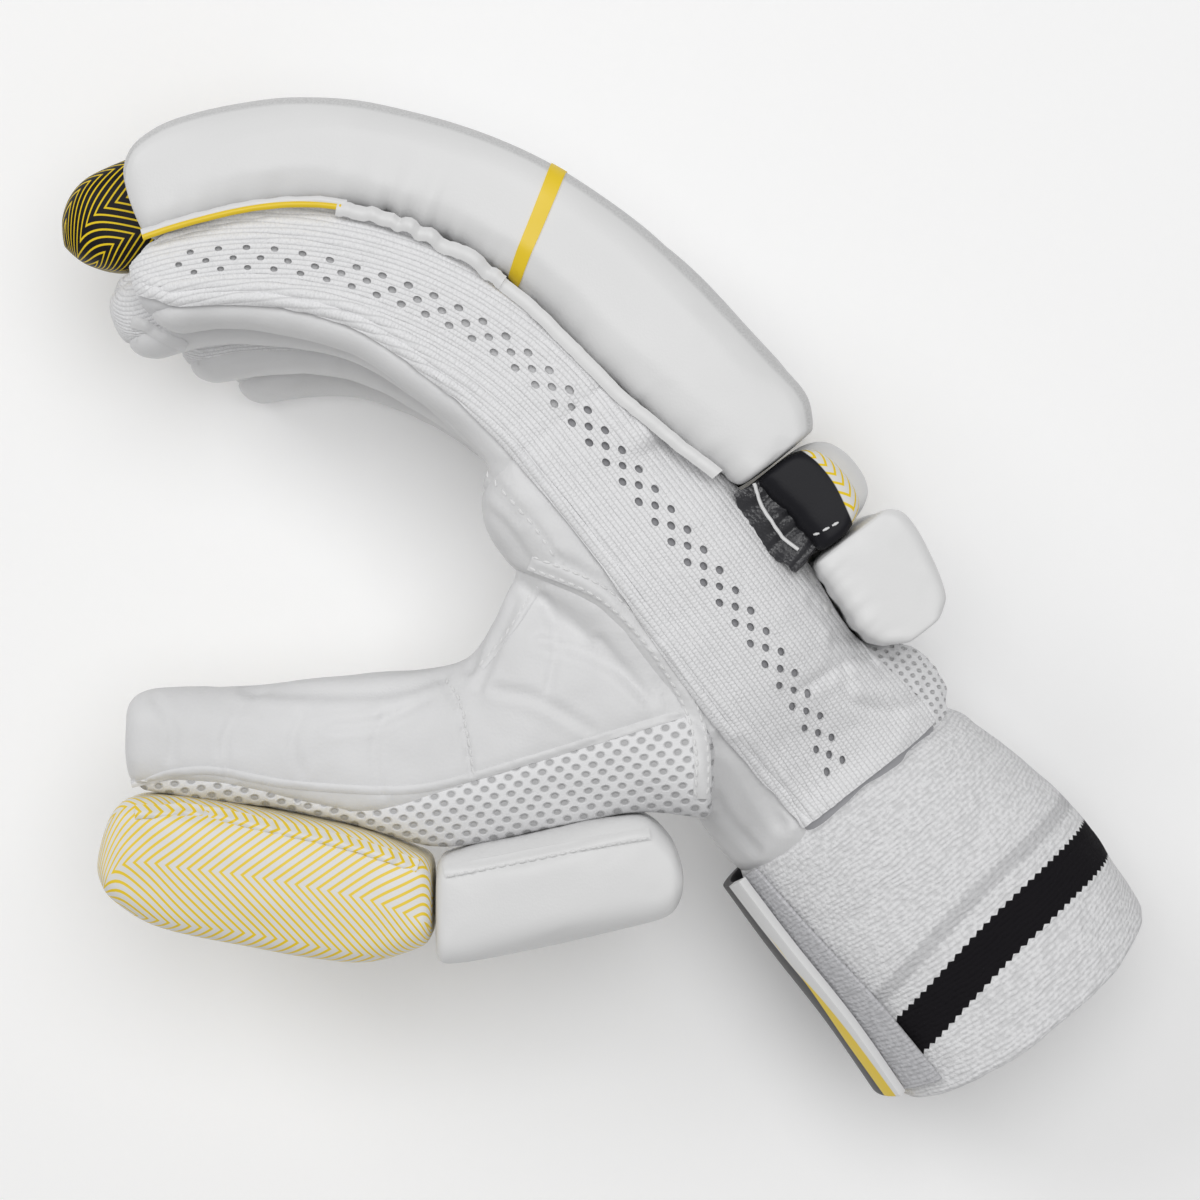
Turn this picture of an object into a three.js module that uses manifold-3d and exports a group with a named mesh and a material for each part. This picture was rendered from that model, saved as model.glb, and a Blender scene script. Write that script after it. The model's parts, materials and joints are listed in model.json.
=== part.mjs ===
// Cricket batting glove for the right hand, lying on its little-finger side with the thumb side up:
// a leather palm, knitted side gussets, foam pads over the back of every finger and of the hand, a
// padded thumb stall, an elastic knitted cuff and its closing strap. Millimetres, +Z up.
import * as THREE from "three";
import { mergeVertices } from "three/addons/utils/BufferGeometryUtils.js";
import Module from "manifold-3d";

const wasm = await Module();
wasm.setup();

// Driving dimensions. "Along" runs from the wrist to the fingertips, "out" from the palm side to
// the back of the hand, and z from the little finger up to the index finger. The hand is straight
// up to the knuckles, and the fingers then curl round an arc on the palm side.
const wrist = { x: 58.8, y: -44.7, heading: 128 };
const handLength = 112;
const handHalfDepth = 35;
const bendRadius = 95;

const fingerLength = 118;
const fingerWidth = 22;
const fingerSpace = 2;
const fingerDepth = 29;
const fingerCorner = 7.5;
const fingerBelly = 5.8;
const fingertipDome = 8;
const leatherWall = 1.8;
const seamGap = 0.4;
const backPanelTurn = 2.5;
const floorClearance = 0.5;

const rollDepth = 31;
const rollSpace = 1;
const indexOverhang = 2.5;
const padCorner = 6;
const padGap = 1.2;
const padSeat = 0.5;
const padTaper = 1.5;
const rollStart = 74;
const rollEnd = 225;
const cap = { length: 26.4, depth: 26.3, nose: 10.5, corner: 7.8, overhang: 2 };
const knuckleLength = 24;
const knuckleDepth = 20;
const tallKnuckleDepth = 26;
const blockLength = 30;
const blockDepth = 25;
const backPadSeat = 28.7;
const backPadCorner = 4.2;
const flange = { height: 4.5, wall: 1.3, lift: 1 };

const thumb = { x: 23.8, y: -38.5, z: 69.1, length: 145.5, halfDepth: 20, width: 27, rise: 2.7 };
const thumbTipPad = { start: 67.5, length: 84, depth: 33, width: 32 };
const thumbRearPad = { start: 4, length: 62.5, depth: 29, width: 32 };
const thumbPadTaper = 3;

const cuff = { z: 43.7, length: 71, halfDepth: 35, height: 58, wall: 3, lean: 8 };
const strap = { wall: 2.4, lift: 0.5, length: 66, inset: 2, edge: 58.8 };

// How round the thumb and the cuff are: 1 is an ellipse.
const thumbRoundness = 0.8;
const cuffRoundness = 0.96;

// How finely curved pieces are cut into flat ones.
const rollStep = 16;
const stallStep = 22;
const weld = 0.01;

// Sections of the hand: "at" is a share of the hand's length, low and high are shares of its
// breadth, and palm, back and the corner's radius of its half depth.
const handSections = [
  { at: 0.0, palm: -0.98, back: 1.12, low: 0.14, high: 0.76, corner: 0.84 },
  { at: 0.09, palm: -0.97, back: 1.12, low: 0.1, high: 0.79, corner: 0.8 },
  { at: 0.155, palm: -0.95, back: 0.98, low: 0.06, high: 0.83, corner: 0.74 },
  { at: 0.21, palm: -0.92, back: 0.8, low: 0.03, high: 0.87, corner: 0.68 },
  { at: 0.3, palm: -0.88, back: 0.79, low: 0.005, high: 0.92, corner: 0.62 },
  { at: 0.45, palm: -0.85, back: 0.82, low: 0, high: 0.965, corner: 0.56 },
  { at: 0.65, palm: -0.86, back: 0.76, low: 0, high: 0.995, corner: 0.52 },
  { at: 0.83, palm: -0.9, back: 0.6, low: 0, high: 1.0, corner: 0.5 },
  { at: 0.94, palm: -0.86, back: 0.52, low: 0, high: 1.0, corner: 0.46 },
  { at: 1.04, palm: -0.68, back: 0.47, low: 0, high: 1.0, corner: 0.42 },
];
const cuffJoin = -0.034;

// Where the knitted gusset meets the leather and the pads: "at" is a share of the way from the
// wrist to the index fingertip, leather and back are shares of the finger's depth.
const seamLines = [
  { at: 0.0, leather: -0.47, back: 1.1 },
  { at: 0.13, leather: -0.52, back: 0.93 },
  { at: 0.22, leather: -0.5, back: 1.0 },
  { at: 0.31, leather: -0.46, back: 0.93 },
  { at: 0.41, leather: -0.44, back: 0.73 },
  { at: 0.52, leather: -0.47, back: 0.58 },
  { at: 0.64, leather: -0.42, back: 0.65 },
  { at: 0.76, leather: -0.26, back: 0.72 },
  { at: 0.83, leather: -0.2, back: 0.7 },
  { at: 0.93, leather: -0.12, back: 0.58 },
  { at: 1.06, leather: -0.06, back: 0.48 },
];

// Fingers from the little one up: reach is a share of the finger length, drop how far the tip
// curls towards the palm and swell how much taller its roll is at the knuckle, as shares of the
// finger's depth.
const fingers = [
  { name: "little", reach: 0.9, drop: 0.55, swell: 0, capped: false },
  { name: "ring", reach: 0.99, drop: 0.34, swell: 0.08, capped: true },
  { name: "middle", reach: 1.09, drop: 0.07, swell: 0.1, capped: true },
  { name: "index", reach: 1.0, drop: 0, swell: 0, capped: false },
];

// Outline of a finger roll from its knuckle end to its tip end: "at" is a share of the roll's
// length, top a share of its depth above the seat.
const rollOutline = [
  { at: 0.0, top: 0.74 },
  { at: 0.05, top: 0.93 },
  { at: 0.13, top: 1.01 },
  { at: 0.28, top: 1.07 },
  { at: 0.5, top: 0.96 },
  { at: 0.67, top: 0.86 },
  { at: 0.83, top: 0.87 },
  { at: 0.93, top: 0.85 },
  { at: 0.97, top: 0.78 },
  { at: 1.0, top: 0.66 },
];

// A taller roll comes down to its usual depth between these shares of its length.
const swellFrom = 0.2;
const swellTo = 0.5;

// Outline of a tip cap's nose: "into" is a share of the nose's length, top and under are shares
// of the cap's depth above the seat, and wide of its width.
const capNose = [
  { into: 0.0, top: 1, under: 0, wide: 1 },
  { into: 0.45, top: 0.93, under: 0.1, wide: 0.93 },
  { into: 0.8, top: 0.78, under: 0.26, wide: 0.74 },
  { into: 1.0, top: 0.6, under: 0.4, wide: 0.55 },
];

// Outlines of the short pads on the back of the hand, from the wrist end to the finger end: "at"
// is a share of the pad's length, top a share of its depth.
const knuckleOutline = [
  { at: 0.0, top: 0.62 },
  { at: 0.13, top: 0.9 },
  { at: 0.5, top: 1.0 },
  { at: 0.87, top: 0.9 },
  { at: 1.0, top: 0.7 },
];
const blockOutline = [
  { at: 0.0, top: 0.66 },
  { at: 0.1, top: 0.84 },
  { at: 0.55, top: 1.0 },
  { at: 0.9, top: 1.02 },
  { at: 1.0, top: 0.9 },
];

// Sections of the thumb stall from its root to its tip: "at" is a share of its length, back and
// palm are shares of its half depth and wide of its width.
const thumbSections = [
  { at: -0.02, back: -0.8, palm: 0.6, wide: 1.3 },
  { at: 0.04, back: -0.74, palm: 1.2, wide: 1.36 },
  { at: 0.1, back: -0.7, palm: 1.6, wide: 1.36 },
  { at: 0.24, back: -0.9, palm: 2.2, wide: 1.3 },
  { at: 0.315, back: -1.03, palm: 2.34, wide: 1.22 },
  { at: 0.35, back: -1.08, palm: 1.86, wide: 1.14 },
  { at: 0.395, back: -1.13, palm: 1.32, wide: 1.06 },
  { at: 0.475, back: -1.14, palm: 1.12, wide: 1.0 },
  { at: 0.57, back: -0.92, palm: 1.07, wide: 1.0 },
  { at: 0.77, back: -0.62, palm: 0.93, wide: 0.98 },
  { at: 0.95, back: -0.46, palm: 0.88, wide: 0.94 },
  { at: 1.0, back: -0.38, palm: 0.66, wide: 0.74 },
];

// The seam between the thumb's leather and its mesh side, as shares of length and half depth.
const thumbSeam = [
  { at: -0.1, seam: 0.65 },
  { at: 0.07, seam: 0.5 },
  { at: 0.24, seam: 0.06 },
  { at: 0.43, seam: -0.37 },
  { at: 0.57, seam: -0.69 },
  { at: 0.69, seam: -0.56 },
  { at: 0.86, seam: -0.29 },
  { at: 1.05, seam: -0.4 },
];

// Outlines of the two thumb pads: "at" is a share of the pad's length from its root end, inner is
// how far its seat falls away from the stall and outer how far its face lies from the stall's
// axis, both shares of its depth.
const thumbTipOutline = [
  { at: 0.0, inner: 0.04, outer: -1.42 },
  { at: 0.18, inner: 0, outer: -1.56 },
  { at: 0.36, inner: 0, outer: -1.53 },
  { at: 0.55, inner: 0, outer: -1.44 },
  { at: 0.75, inner: 0, outer: -1.34 },
  { at: 0.86, inner: 0, outer: -1.25 },
  { at: 0.95, inner: 0.12, outer: -1.1 },
  { at: 1.0, inner: 0.4, outer: -0.98 },
];
const thumbRearOutline = [
  { at: 0.0, inner: 0.35, outer: -1.26 },
  { at: 0.06, inner: 0.16, outer: -1.38 },
  { at: 0.17, inner: 0, outer: -1.45 },
  { at: 0.5, inner: 0, outer: -1.6 },
  { at: 0.85, inner: 0, outer: -1.77 },
  { at: 1.0, inner: 0.04, outer: -1.8 },
];

// Profile of the cuff from the hand to its hem: "at" is a share of its length, palm and back are
// shares of its half depth.
const cuffProfile = [
  { at: 0.0, palm: -0.98, back: 1.05 },
  { at: 0.3, palm: -1.0, back: 1.21 },
  { at: 0.65, palm: -1.0, back: 1.32 },
  { at: 1.0, palm: -1.04, back: 1.26 },
];

const finishes = {
  leather: { color: "#e6e6e6", roughness: 0.62 },
  knit: { color: "#ebebed", roughness: 0.95 },
  padWhite: { color: "#f2f2f2", roughness: 0.42 },
  padBlack: { color: "#17161b", roughness: 0.5 },
  padLined: { color: "#f1ead2", roughness: 0.45 },
  piping: { color: "#efce2d", roughness: 0.5 },
  cuffKnit: { color: "#e9e9eb", roughness: 0.95 },
  strapCloth: { color: "#e4e4e6", roughness: 0.8 },
};

// Sizes that follow from the driving ones.
const fingerPitch = fingerWidth + fingerSpace;
const rollWidth = fingerPitch - rollSpace;
const handLow = floorClearance;
const handBreadth = 3 * fingerPitch + fingerWidth;
const padsLow = handLow + (fingerWidth - rollWidth) / 2;
const wholeLength = handLength + fingerLength;
const webbing = handLength * handSections[handSections.length - 1].at;
const cuffStart = handLength * cuffJoin;

// A finger's stall starts inside the hand, at this share of the hand's length, drawn in by a taper.
const fingerRoot = 0.86;
const rootTaper = 5;

fingers.forEach((finger, i) => {
  finger.centre = handLow + fingerWidth / 2 + i * fingerPitch;
  finger.tip = handLength + fingerLength * finger.reach;
  finger.stretch = (finger.reach - 1) * fingerLength;
});

// Value of a table's column at a place, on a smooth curve through its rows.
function column(table, name, at) {
  const last = table.length - 1;
  if (at <= table[0].at) return table[0][name];
  if (at >= table[last].at) return table[last][name];
  const i = table.findIndex((row) => row.at > at) - 1;
  const slope = (j) => {
    const a = table[Math.max(j - 1, 0)];
    const b = table[Math.min(j + 1, last)];
    return (b[name] - a[name]) / (b.at - a.at);
  };
  const span = table[i + 1].at - table[i].at;
  const t = (at - table[i].at) / span;
  const ease = t * t * (3 - 2 * t);
  const level = table[i][name] * (1 - ease) + table[i + 1][name] * ease;
  return level + span * t * (1 - t) * ((1 - t) * slope(i) - t * slope(i + 1));
}

// A point of the hand or a finger: straight to the knuckles, then round the finger bend.
function inHand(along, out, z) {
  const heading = THREE.MathUtils.degToRad(wrist.heading);
  const back = heading - Math.PI / 2;
  const straight = Math.min(along, handLength);
  const turned = back + Math.max(along - handLength, 0) / bendRadius;
  const reach = bendRadius + out;
  return [
    wrist.x + straight * Math.cos(heading) - bendRadius * Math.cos(back) + reach * Math.cos(turned),
    wrist.y + straight * Math.sin(heading) - bendRadius * Math.sin(back) + reach * Math.sin(turned),
    z,
  ];
}

// A point of the thumb, which lies straight along -X from its root.
function inThumb(along, out, z) {
  return [thumb.x - along, thumb.y + out, z];
}

// Places along a stretch: its two ends and the steps of a grid between them, offset by a share of
// a step. Places too near an end are left out.
function stations(from, to, step, offset = 0) {
  const places = [from];
  for (let at = (Math.ceil(from / step) + offset) * step; at < to - step / 4; at += step) {
    if (at > from + step / 4) places.push(at);
  }
  return [...places, to];
}

// A ring of points round a section. Its corners are quarter ellipses: of the radius "corner", or
// with "oval" that share of each half side. A leaning ring runs further back at its upper side.
function ring(row, cornerSteps, place) {
  const halfOut = (row.back - row.palm) / 2;
  const halfUp = (row.high - row.low) / 2;
  const most = 0.96;
  const cornerOut = Math.min(row.corner ?? row.oval * halfOut, halfOut * most);
  const cornerUp = Math.min(row.corner ?? row.oval * halfUp, halfUp * most);
  const middleOut = (row.palm + row.back) / 2;
  const middleUp = (row.low + row.high) / 2;
  const points = [];
  for (const quarter of [0, 1, 2, 3]) {
    const signOut = quarter === 0 || quarter === 3 ? 1 : -1;
    const signUp = quarter < 2 ? 1 : -1;
    for (let step = 0; step <= cornerSteps; step++) {
      const turn = cornerSteps ? step / cornerSteps : 0.5;
      const angle = ((quarter + turn) * Math.PI) / 2;
      const out = middleOut + signOut * (halfOut - cornerOut) + cornerOut * Math.cos(angle);
      const up = signUp * (halfUp - cornerUp) + cornerUp * Math.sin(angle);
      const lean = ((row.lean ?? 0) * up) / halfUp;
      points.push(place(row.along - lean, out, middleUp + up));
    }
  }
  return points;
}

// A solid skinned over the rings of its sections, closed by a fan at each end.
function loft(rows, cornerSteps, place) {
  const rings = rows.map((row) => ring(row, cornerSteps, place));
  const count = rings[0].length;
  const ends = [rows[0], rows[rows.length - 1]];
  const middles = ends.map((row) =>
    place(row.along, (row.palm + row.back) / 2, (row.low + row.high) / 2),
  );
  const lastRing = (rings.length - 1) * count;
  const [firstMiddle, lastMiddle] = [rings.length * count, rings.length * count + 1];
  const index = [];
  for (let k = 0; k < count; k++) {
    const next = (k + 1) % count;
    for (let i = 0; i < rings.length - 1; i++) {
      const [a, b] = [i * count + k, i * count + next];
      index.push(a, b, b + count, a, b + count, a + count);
    }
    index.push(firstMiddle, next, k, lastMiddle, lastRing + k, lastRing + next);
  }
  return solidFrom([...rings.flat(), ...middles].flat(), index);
}

// A manifold solid from points and triangles, turned right side out.
function solidFrom(positions, index) {
  const geometry = new THREE.BufferGeometry();
  geometry.setAttribute("position", new THREE.Float32BufferAttribute(positions, 3));
  geometry.setIndex(index);
  const merged = mergeVertices(geometry, weld / 10);
  const vertProperties = merged.attributes.position.array;
  const triVerts = new Uint32Array(merged.index.array);
  const made = new wasm.Manifold(new wasm.Mesh({ numProp: 3, vertProperties, triVerts }));
  if (made.volume() > 0) return made;
  for (let i = 0; i < triVerts.length; i += 3) {
    [triVerts[i + 1], triVerts[i + 2]] = [triVerts[i + 2], triVerts[i + 1]];
  }
  return new wasm.Manifold(new wasm.Mesh({ numProp: 3, vertProperties, triVerts }));
}

function union(solids) {
  return solids.reduce((all, solid) => all.add(solid));
}

// Sections moved inwards by a wall, or outwards by a negative one.
function shrunk(rows, wall) {
  return rows.map((row) => ({
    ...row,
    palm: row.palm + wall,
    back: row.back - wall,
    low: row.low + wall,
    high: row.high - wall,
  }));
}

// Sections that round off an end beyond the given one.
function dome(row, length) {
  const middleOut = (row.palm + row.back) / 2;
  const middleUp = (row.low + row.high) / 2;
  return [0.5, 0.85, 1].map((share) => {
    const size = Math.max(0.3, Math.sqrt(1 - share * share));
    return {
      ...row,
      along: row.along + length * share,
      palm: middleOut + (row.palm - middleOut) * size,
      back: middleOut + (row.back - middleOut) * size,
      low: middleUp + (row.low - middleUp) * size,
      high: middleUp + (row.high - middleUp) * size,
      corner: row.corner * size,
    };
  });
}

// The seam line between the gusset and its neighbour, in the hand's frame.
function seamAt(name, along) {
  return fingerDepth * column(seamLines, name, along / wholeLength);
}

// How far a finger's centre line has dropped towards the palm at a place along it.
function dropAt(finger, along) {
  const share = THREE.MathUtils.clamp((along - webbing) / fingerLength, 0, 1);
  return finger.drop * fingerDepth * share * share * (3 - 2 * share);
}

// Where the underside of a finger's pads sits.
function padSeatAt(finger, along) {
  return seamAt("back", along) - dropAt(finger, along) + padSeat;
}

// The hollow body: the hand and its finger stalls as one skin.
function handRows() {
  const { palm, back, low, high } = cuffRow(cuffProfile[0], 0);
  const rows = handSections.map((row) => ({
    along: row.at * handLength,
    palm: row.palm * handHalfDepth,
    back: row.back * handHalfDepth,
    low: handLow + row.low * handBreadth,
    high: handLow + row.high * handBreadth,
    corner: row.corner * handHalfDepth,
  }));
  return [{ along: cuffStart, palm, back, low, high, corner: rows[0].corner }, ...rows];
}

function stallRow(finger, along) {
  const drop = dropAt(finger, along);
  return {
    along,
    palm: seamAt("leather", along) - fingerBelly - drop,
    back: seamAt("back", along) - drop,
    low: finger.centre - fingerWidth / 2,
    high: finger.centre + fingerWidth / 2,
    corner: fingerCorner,
  };
}

function stallRows(finger, inset) {
  const end = finger.tip - fingertipDome;
  const places = stations(handLength * fingerRoot, end, stallStep);
  const rows = shrunk(
    places.map((along) => stallRow(finger, along)),
    inset,
  );
  const [root] = shrunk(rows.slice(0, 1), rootTaper);
  return [root, ...rows.slice(1), ...dome(rows[rows.length - 1], fingertipDome - inset)];
}

function thumbRows(inset) {
  const rows = thumbSections.map((row) => {
    const centre = thumb.z + thumb.rise * row.at;
    const half = (thumb.width / 2) * row.wide;
    return {
      along: row.at * thumb.length,
      palm: row.back * thumb.halfDepth + inset,
      back: row.palm * thumb.halfDepth - inset,
      low: centre - half + inset,
      high: centre + half - inset,
      oval: thumbRoundness,
    };
  });
  rows[rows.length - 1].along -= inset;
  return rows;
}

function handInside() {
  const rows = shrunk(handRows(), leatherWall);
  rows[0].along -= leatherWall;
  rows[rows.length - 1].along -= leatherWall;
  return loft(rows, 3, inHand);
}

const stalls = (inset) => fingers.map((finger) => loft(stallRows(finger, inset), 2, inHand));
const thumbHollow = loft(thumbRows(leatherWall), 2, inThumb);
const bodyOuter = union([loft(handRows(), 3, inHand), ...stalls(0)]);
const bodyHollow = union([handInside(), ...stalls(leatherWall), thumbHollow]);
const body = bodyOuter.subtract(bodyHollow);

// The space on one side of a seam line, in a strip for each finger that runs down the whole hand.
function seamSpace(name, side, clearance) {
  const far = side * 3 * fingerDepth;
  const margin = fingerPitch / 2;
  const strips = fingers.map((finger, i) => {
    const low = finger.centre - fingerPitch / 2 - (i === 0 ? margin : 0);
    const high = finger.centre + fingerPitch / 2 + (i === fingers.length - 1 ? margin : 0);
    const places = stations(-margin, handLength + fingerLength * 1.2, stallStep, 0.5);
    const rows = places.map((along) => {
      const line = seamAt(name, along) + side * clearance - dropAt(finger, along);
      const [palm, back] = [Math.min(line, line + far), Math.max(line, line + far)];
      return { along, palm, back, low, high, corner: 0 };
    });
    return loft(rows, 0, inHand);
  });
  return union(strips);
}

const skins = {
  leather: body.intersect(seamSpace("leather", -1, seamGap / 2)),
  back: body.intersect(seamSpace("back", 1, seamGap / 2 - backPanelTurn)),
  gusset: body
    .subtract(seamSpace("leather", -1, -seamGap / 2))
    .subtract(seamSpace("back", 1, -seamGap / 2 - backPanelTurn)),
};

// The space between two places along the hand and two levels.
function stretchSpace(from, to, low, high) {
  const [palm, back] = [-3 * fingerDepth, 3 * fingerDepth];
  const rows = stations(from, to, stallStep, 0.5).map((along) => {
    return { along, palm, back, low, high, corner: 0 };
  });
  return loft(rows, 0, inHand);
}

// The skins are parted again just before the webbing, into the hand's and each finger's.
const webCut = webbing - leatherWall - seamGap;
const beyondTips = handLength + fingerLength * 1.2;
const [underHand, overHand] = [-fingerPitch, handBreadth + fingerPitch];
const handMiddle = handLow + handBreadth / 2;

function handSpace(low, high) {
  return stretchSpace(-fingerPitch, webCut - seamGap / 2, low, high);
}

function fingerStretch(finger) {
  const half = (fingerPitch - seamGap) / 2;
  const first = finger === fingers[0];
  const last = finger === fingers[fingers.length - 1];
  const low = first ? underHand : finger.centre - half;
  const high = last ? overHand : finger.centre + half;
  return stretchSpace(webCut + seamGap / 2, beyondTips, low, high);
}

// The thumb stall, butted on the hand and parted along its own seam.
function thumbSeamSpace(clearance) {
  const rows = thumbSeam.map((row) => ({
    along: row.at * thumb.length,
    palm: row.seam * thumb.halfDepth + clearance,
    back: thumb.halfDepth * 4,
    low: 0,
    high: handBreadth * 1.3,
    corner: 0,
  }));
  return loft(rows, 0, inThumb);
}

const handClear = loft(shrunk(handRows(), -seamGap), 3, inHand);
const thumbSkin = loft(thumbRows(0), 2, inThumb)
  .subtract(thumbHollow)
  .subtract(handClear);
const thumbLeather = thumbSkin.intersect(thumbSeamSpace(seamGap / 2));
const thumbMesh = thumbSkin.subtract(thumbSeamSpace(-seamGap / 2));

// A foam roll over a finger, with its ends pulled in like a stuffed tube's.
function fingerRoll(finger) {
  const start = rollStart;
  const end = finger.capped ? capStart(finger) - padGap : rollEnd + finger.stretch;
  const overhang = finger.name === "index" ? indexOverhang : 0;
  const inner = stations(start + padTaper * 2, end - padTaper * 2, rollStep);
  const places = [start, ...inner, end];
  const rows = places.map((along, i) => {
    const share = (along - rollStart - finger.stretch / 2) / (rollEnd - rollStart);
    const seat = padSeatAt(finger, along);
    const taper = i === 0 || i === places.length - 1 ? padTaper : 0;
    const swell = 1 + finger.swell * (1 - THREE.MathUtils.smoothstep(share, swellFrom, swellTo));
    return {
      along,
      palm: seat + taper,
      back: seat + rollDepth * swell * column(rollOutline, "top", share) - taper,
      low: finger.centre - rollWidth / 2 + taper,
      high: finger.centre + rollWidth / 2 + overhang - taper,
      corner: padCorner,
    };
  });
  return loft(rows, 2, inHand);
}

function capStart(finger) {
  return rollEnd + finger.stretch - cap.length;
}

// The rounded cap over the tip of a longer finger.
function tipCap(finger) {
  const noseStart = finger.tip + cap.overhang - cap.nose;
  const [level, ...nose] = capNose;
  const places = [
    ...stations(capStart(finger), noseStart, cap.length / 3).map((along) => ({ along, ...level })),
    ...nose.map((row) => ({ along: noseStart + cap.nose * row.into, ...row })),
  ];
  const rows = places.map((place, i) => {
    const seat = padSeatAt(finger, place.along);
    const taper = i === 0 ? padTaper : 0;
    const half = (rollWidth / 2) * place.wide;
    return {
      along: place.along,
      palm: seat + cap.depth * place.under,
      back: seat + cap.depth * place.top - taper,
      low: finger.centre - half,
      high: finger.centre + half,
      corner: cap.corner,
    };
  });
  return loft(rows, 2, inHand);
}

// A short pad seated over the back of the hand.
function backPad(start, length, low, high, outline, depth) {
  const rows = outline.map((row, i) => {
    const along = start + row.at * length;
    const handBack = handHalfDepth * column(handSections, "back", along / handLength);
    const taper = i === 0 || i === outline.length - 1 ? padTaper : 0;
    return {
      along,
      palm: handBack + padSeat,
      back: backPadSeat + depth * row.top,
      low: low + taper,
      high: high - taper,
      corner: backPadCorner,
    };
  });
  return loft(rows, 2, inHand);
}

const knuckleStart = rollStart - padGap - knuckleLength;
const blockStart = knuckleStart - padGap - blockLength;

function knucklePad(finger) {
  const low = finger.centre - rollWidth / 2;
  const depth = finger.capped ? tallKnuckleDepth : knuckleDepth;
  return backPad(knuckleStart, knuckleLength, low, low + rollWidth, knuckleOutline, depth);
}

// Three blocks side by side between the knuckles and the wrist.
const blockNames = ["ulnar", "middle", "radial"];
const blockPitch = (handBreadth + rollSpace + fingerSpace / 2) / blockNames.length;

function backBlock(i) {
  const low = padsLow + i * blockPitch;
  return backPad(blockStart, blockLength, low, low + blockPitch - padGap, blockOutline, blockDepth);
}

// A pad on the back of the thumb, seated along the stall.
function thumbPad(outline, pad) {
  const rows = outline.map((row, i) => {
    const along = pad.start + row.at * pad.length;
    const share = along / thumb.length;
    const centre = thumb.z + thumb.rise * share;
    const taper = i === 0 || i === outline.length - 1 ? thumbPadTaper : 0;
    const seat = thumb.halfDepth * column(thumbSections, "back", share) - padSeat;
    return {
      along,
      palm: row.outer * pad.depth,
      back: seat - row.inner * pad.depth,
      low: centre - pad.width / 2 + taper,
      high: centre + pad.width / 2 - taper,
      corner: padCorner,
    };
  });
  return loft(rows, 2, inThumb);
}

// The stitched flange where the index roll's cover meets the gusset, up against the roll.
function seamFlange() {
  const index = fingers[fingers.length - 1];
  const side = index.centre + fingerWidth / 2 + seamGap;
  const rows = stations(rollStart + padGap, rollEnd - padGap, rollStep).map((along) => {
    const top = padSeatAt(index, along) + flange.lift;
    return {
      along,
      palm: top - flange.height,
      back: top,
      low: side,
      high: side + flange.wall,
      corner: 0,
    };
  });
  return loft(rows, 0, inHand);
}

// The cuff, a knitted tube whose hem leans out on the thumb side.
function cuffRow(row, grow) {
  return {
    along: cuffStart - seamGap - row.at * cuff.length,
    palm: row.palm * cuff.halfDepth - grow,
    back: row.back * cuff.halfDepth + grow,
    low: cuff.z - cuff.height / 2 - grow,
    high: cuff.z + cuff.height / 2 + grow,
    oval: cuffRoundness,
    lean: cuff.lean * row.at,
  };
}

function cuffTube(grow, extra) {
  const rows = cuffProfile.map((row) => cuffRow(row, grow));
  rows[0].along += extra;
  rows[rows.length - 1].along -= extra;
  return loft(rows, 4, inHand);
}

const cuffSkin = cuffTube(0, 0).subtract(cuffTube(-cuff.wall, cuff.wall));

// The closing strap, a band round the palm side of the cuff from its thumb edge to the far side.
function strapBand() {
  const start = cuffStart - seamGap - strap.inset;
  const rows = [start, start - strap.length].map((along) => ({
    along,
    palm: -cuff.halfDepth * 2,
    back: -cuff.halfDepth / 5,
    low: cuff.z - cuff.height,
    high: strap.edge,
    corner: 0,
  }));
  return cuffTube(strap.lift + strap.wall, 0)
    .subtract(cuffTube(strap.lift, cuff.wall))
    .intersect(loft(rows, 0, inHand));
}

// A solid as a three.js geometry, with corners closer than the weld made one.
function welded(solid) {
  const mesh = solid.getMesh();
  const geometry = new THREE.BufferGeometry();
  geometry.setAttribute("position", new THREE.Float32BufferAttribute(mesh.vertProperties, 3));
  geometry.setIndex([...mesh.triVerts]);
  const merged = mergeVertices(geometry, weld);
  const corners = merged.index.array;
  const kept = [];
  for (let i = 0; i < corners.length; i += 3) {
    const [a, b, c] = corners.slice(i, i + 3);
    if (a !== b && b !== c && c !== a) kept.push(a, b, c);
  }
  merged.setIndex(kept);
  return merged;
}

const glove = new THREE.Group();

function addPiece(name, solid, finish) {
  const geometry = welded(solid);
  geometry.computeVertexNormals();
  const material = new THREE.MeshStandardMaterial({ metalness: 0, ...finishes[finish] });
  const piece = new THREE.Mesh(geometry, material);
  piece.name = name;
  glove.add(piece);
}

const wholeHand = handSpace(underHand, overHand);
addPiece("palm_leather", skins.leather.intersect(wholeHand), "leather");
addPiece("back_panel", skins.back.intersect(wholeHand), "knit");
addPiece("index_side_gusset", skins.gusset.intersect(handSpace(handMiddle, overHand)), "knit");
addPiece("little_side_gusset", skins.gusset.intersect(handSpace(underHand, handMiddle)), "knit");
for (const finger of fingers) {
  const stretch = fingerStretch(finger);
  addPiece(`${finger.name}_leather`, skins.leather.intersect(stretch), "leather");
  addPiece(`${finger.name}_gusset`, skins.gusset.intersect(stretch), "knit");
  addPiece(`${finger.name}_back`, skins.back.intersect(stretch), "knit");
}
addPiece("thumb_leather", thumbLeather, "leather");
addPiece("thumb_mesh", thumbMesh, "knit");
addPiece("cuff", cuffSkin, "cuffKnit");
addPiece("cuff_strap", strapBand(), "strapCloth");
addPiece("index_seam_flange", seamFlange(), "piping");
for (const finger of fingers) {
  addPiece(`${finger.name}_roll`, fingerRoll(finger), "padWhite");
  addPiece(`${finger.name}_knuckle_pad`, knucklePad(finger), finger.capped ? "padWhite" : "padLined");
  if (finger.capped) addPiece(`${finger.name}_tip_cap`, tipCap(finger), "padBlack");
}
blockNames.forEach((name, i) => addPiece(`back_block_${name}`, backBlock(i), "padWhite"));
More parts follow.
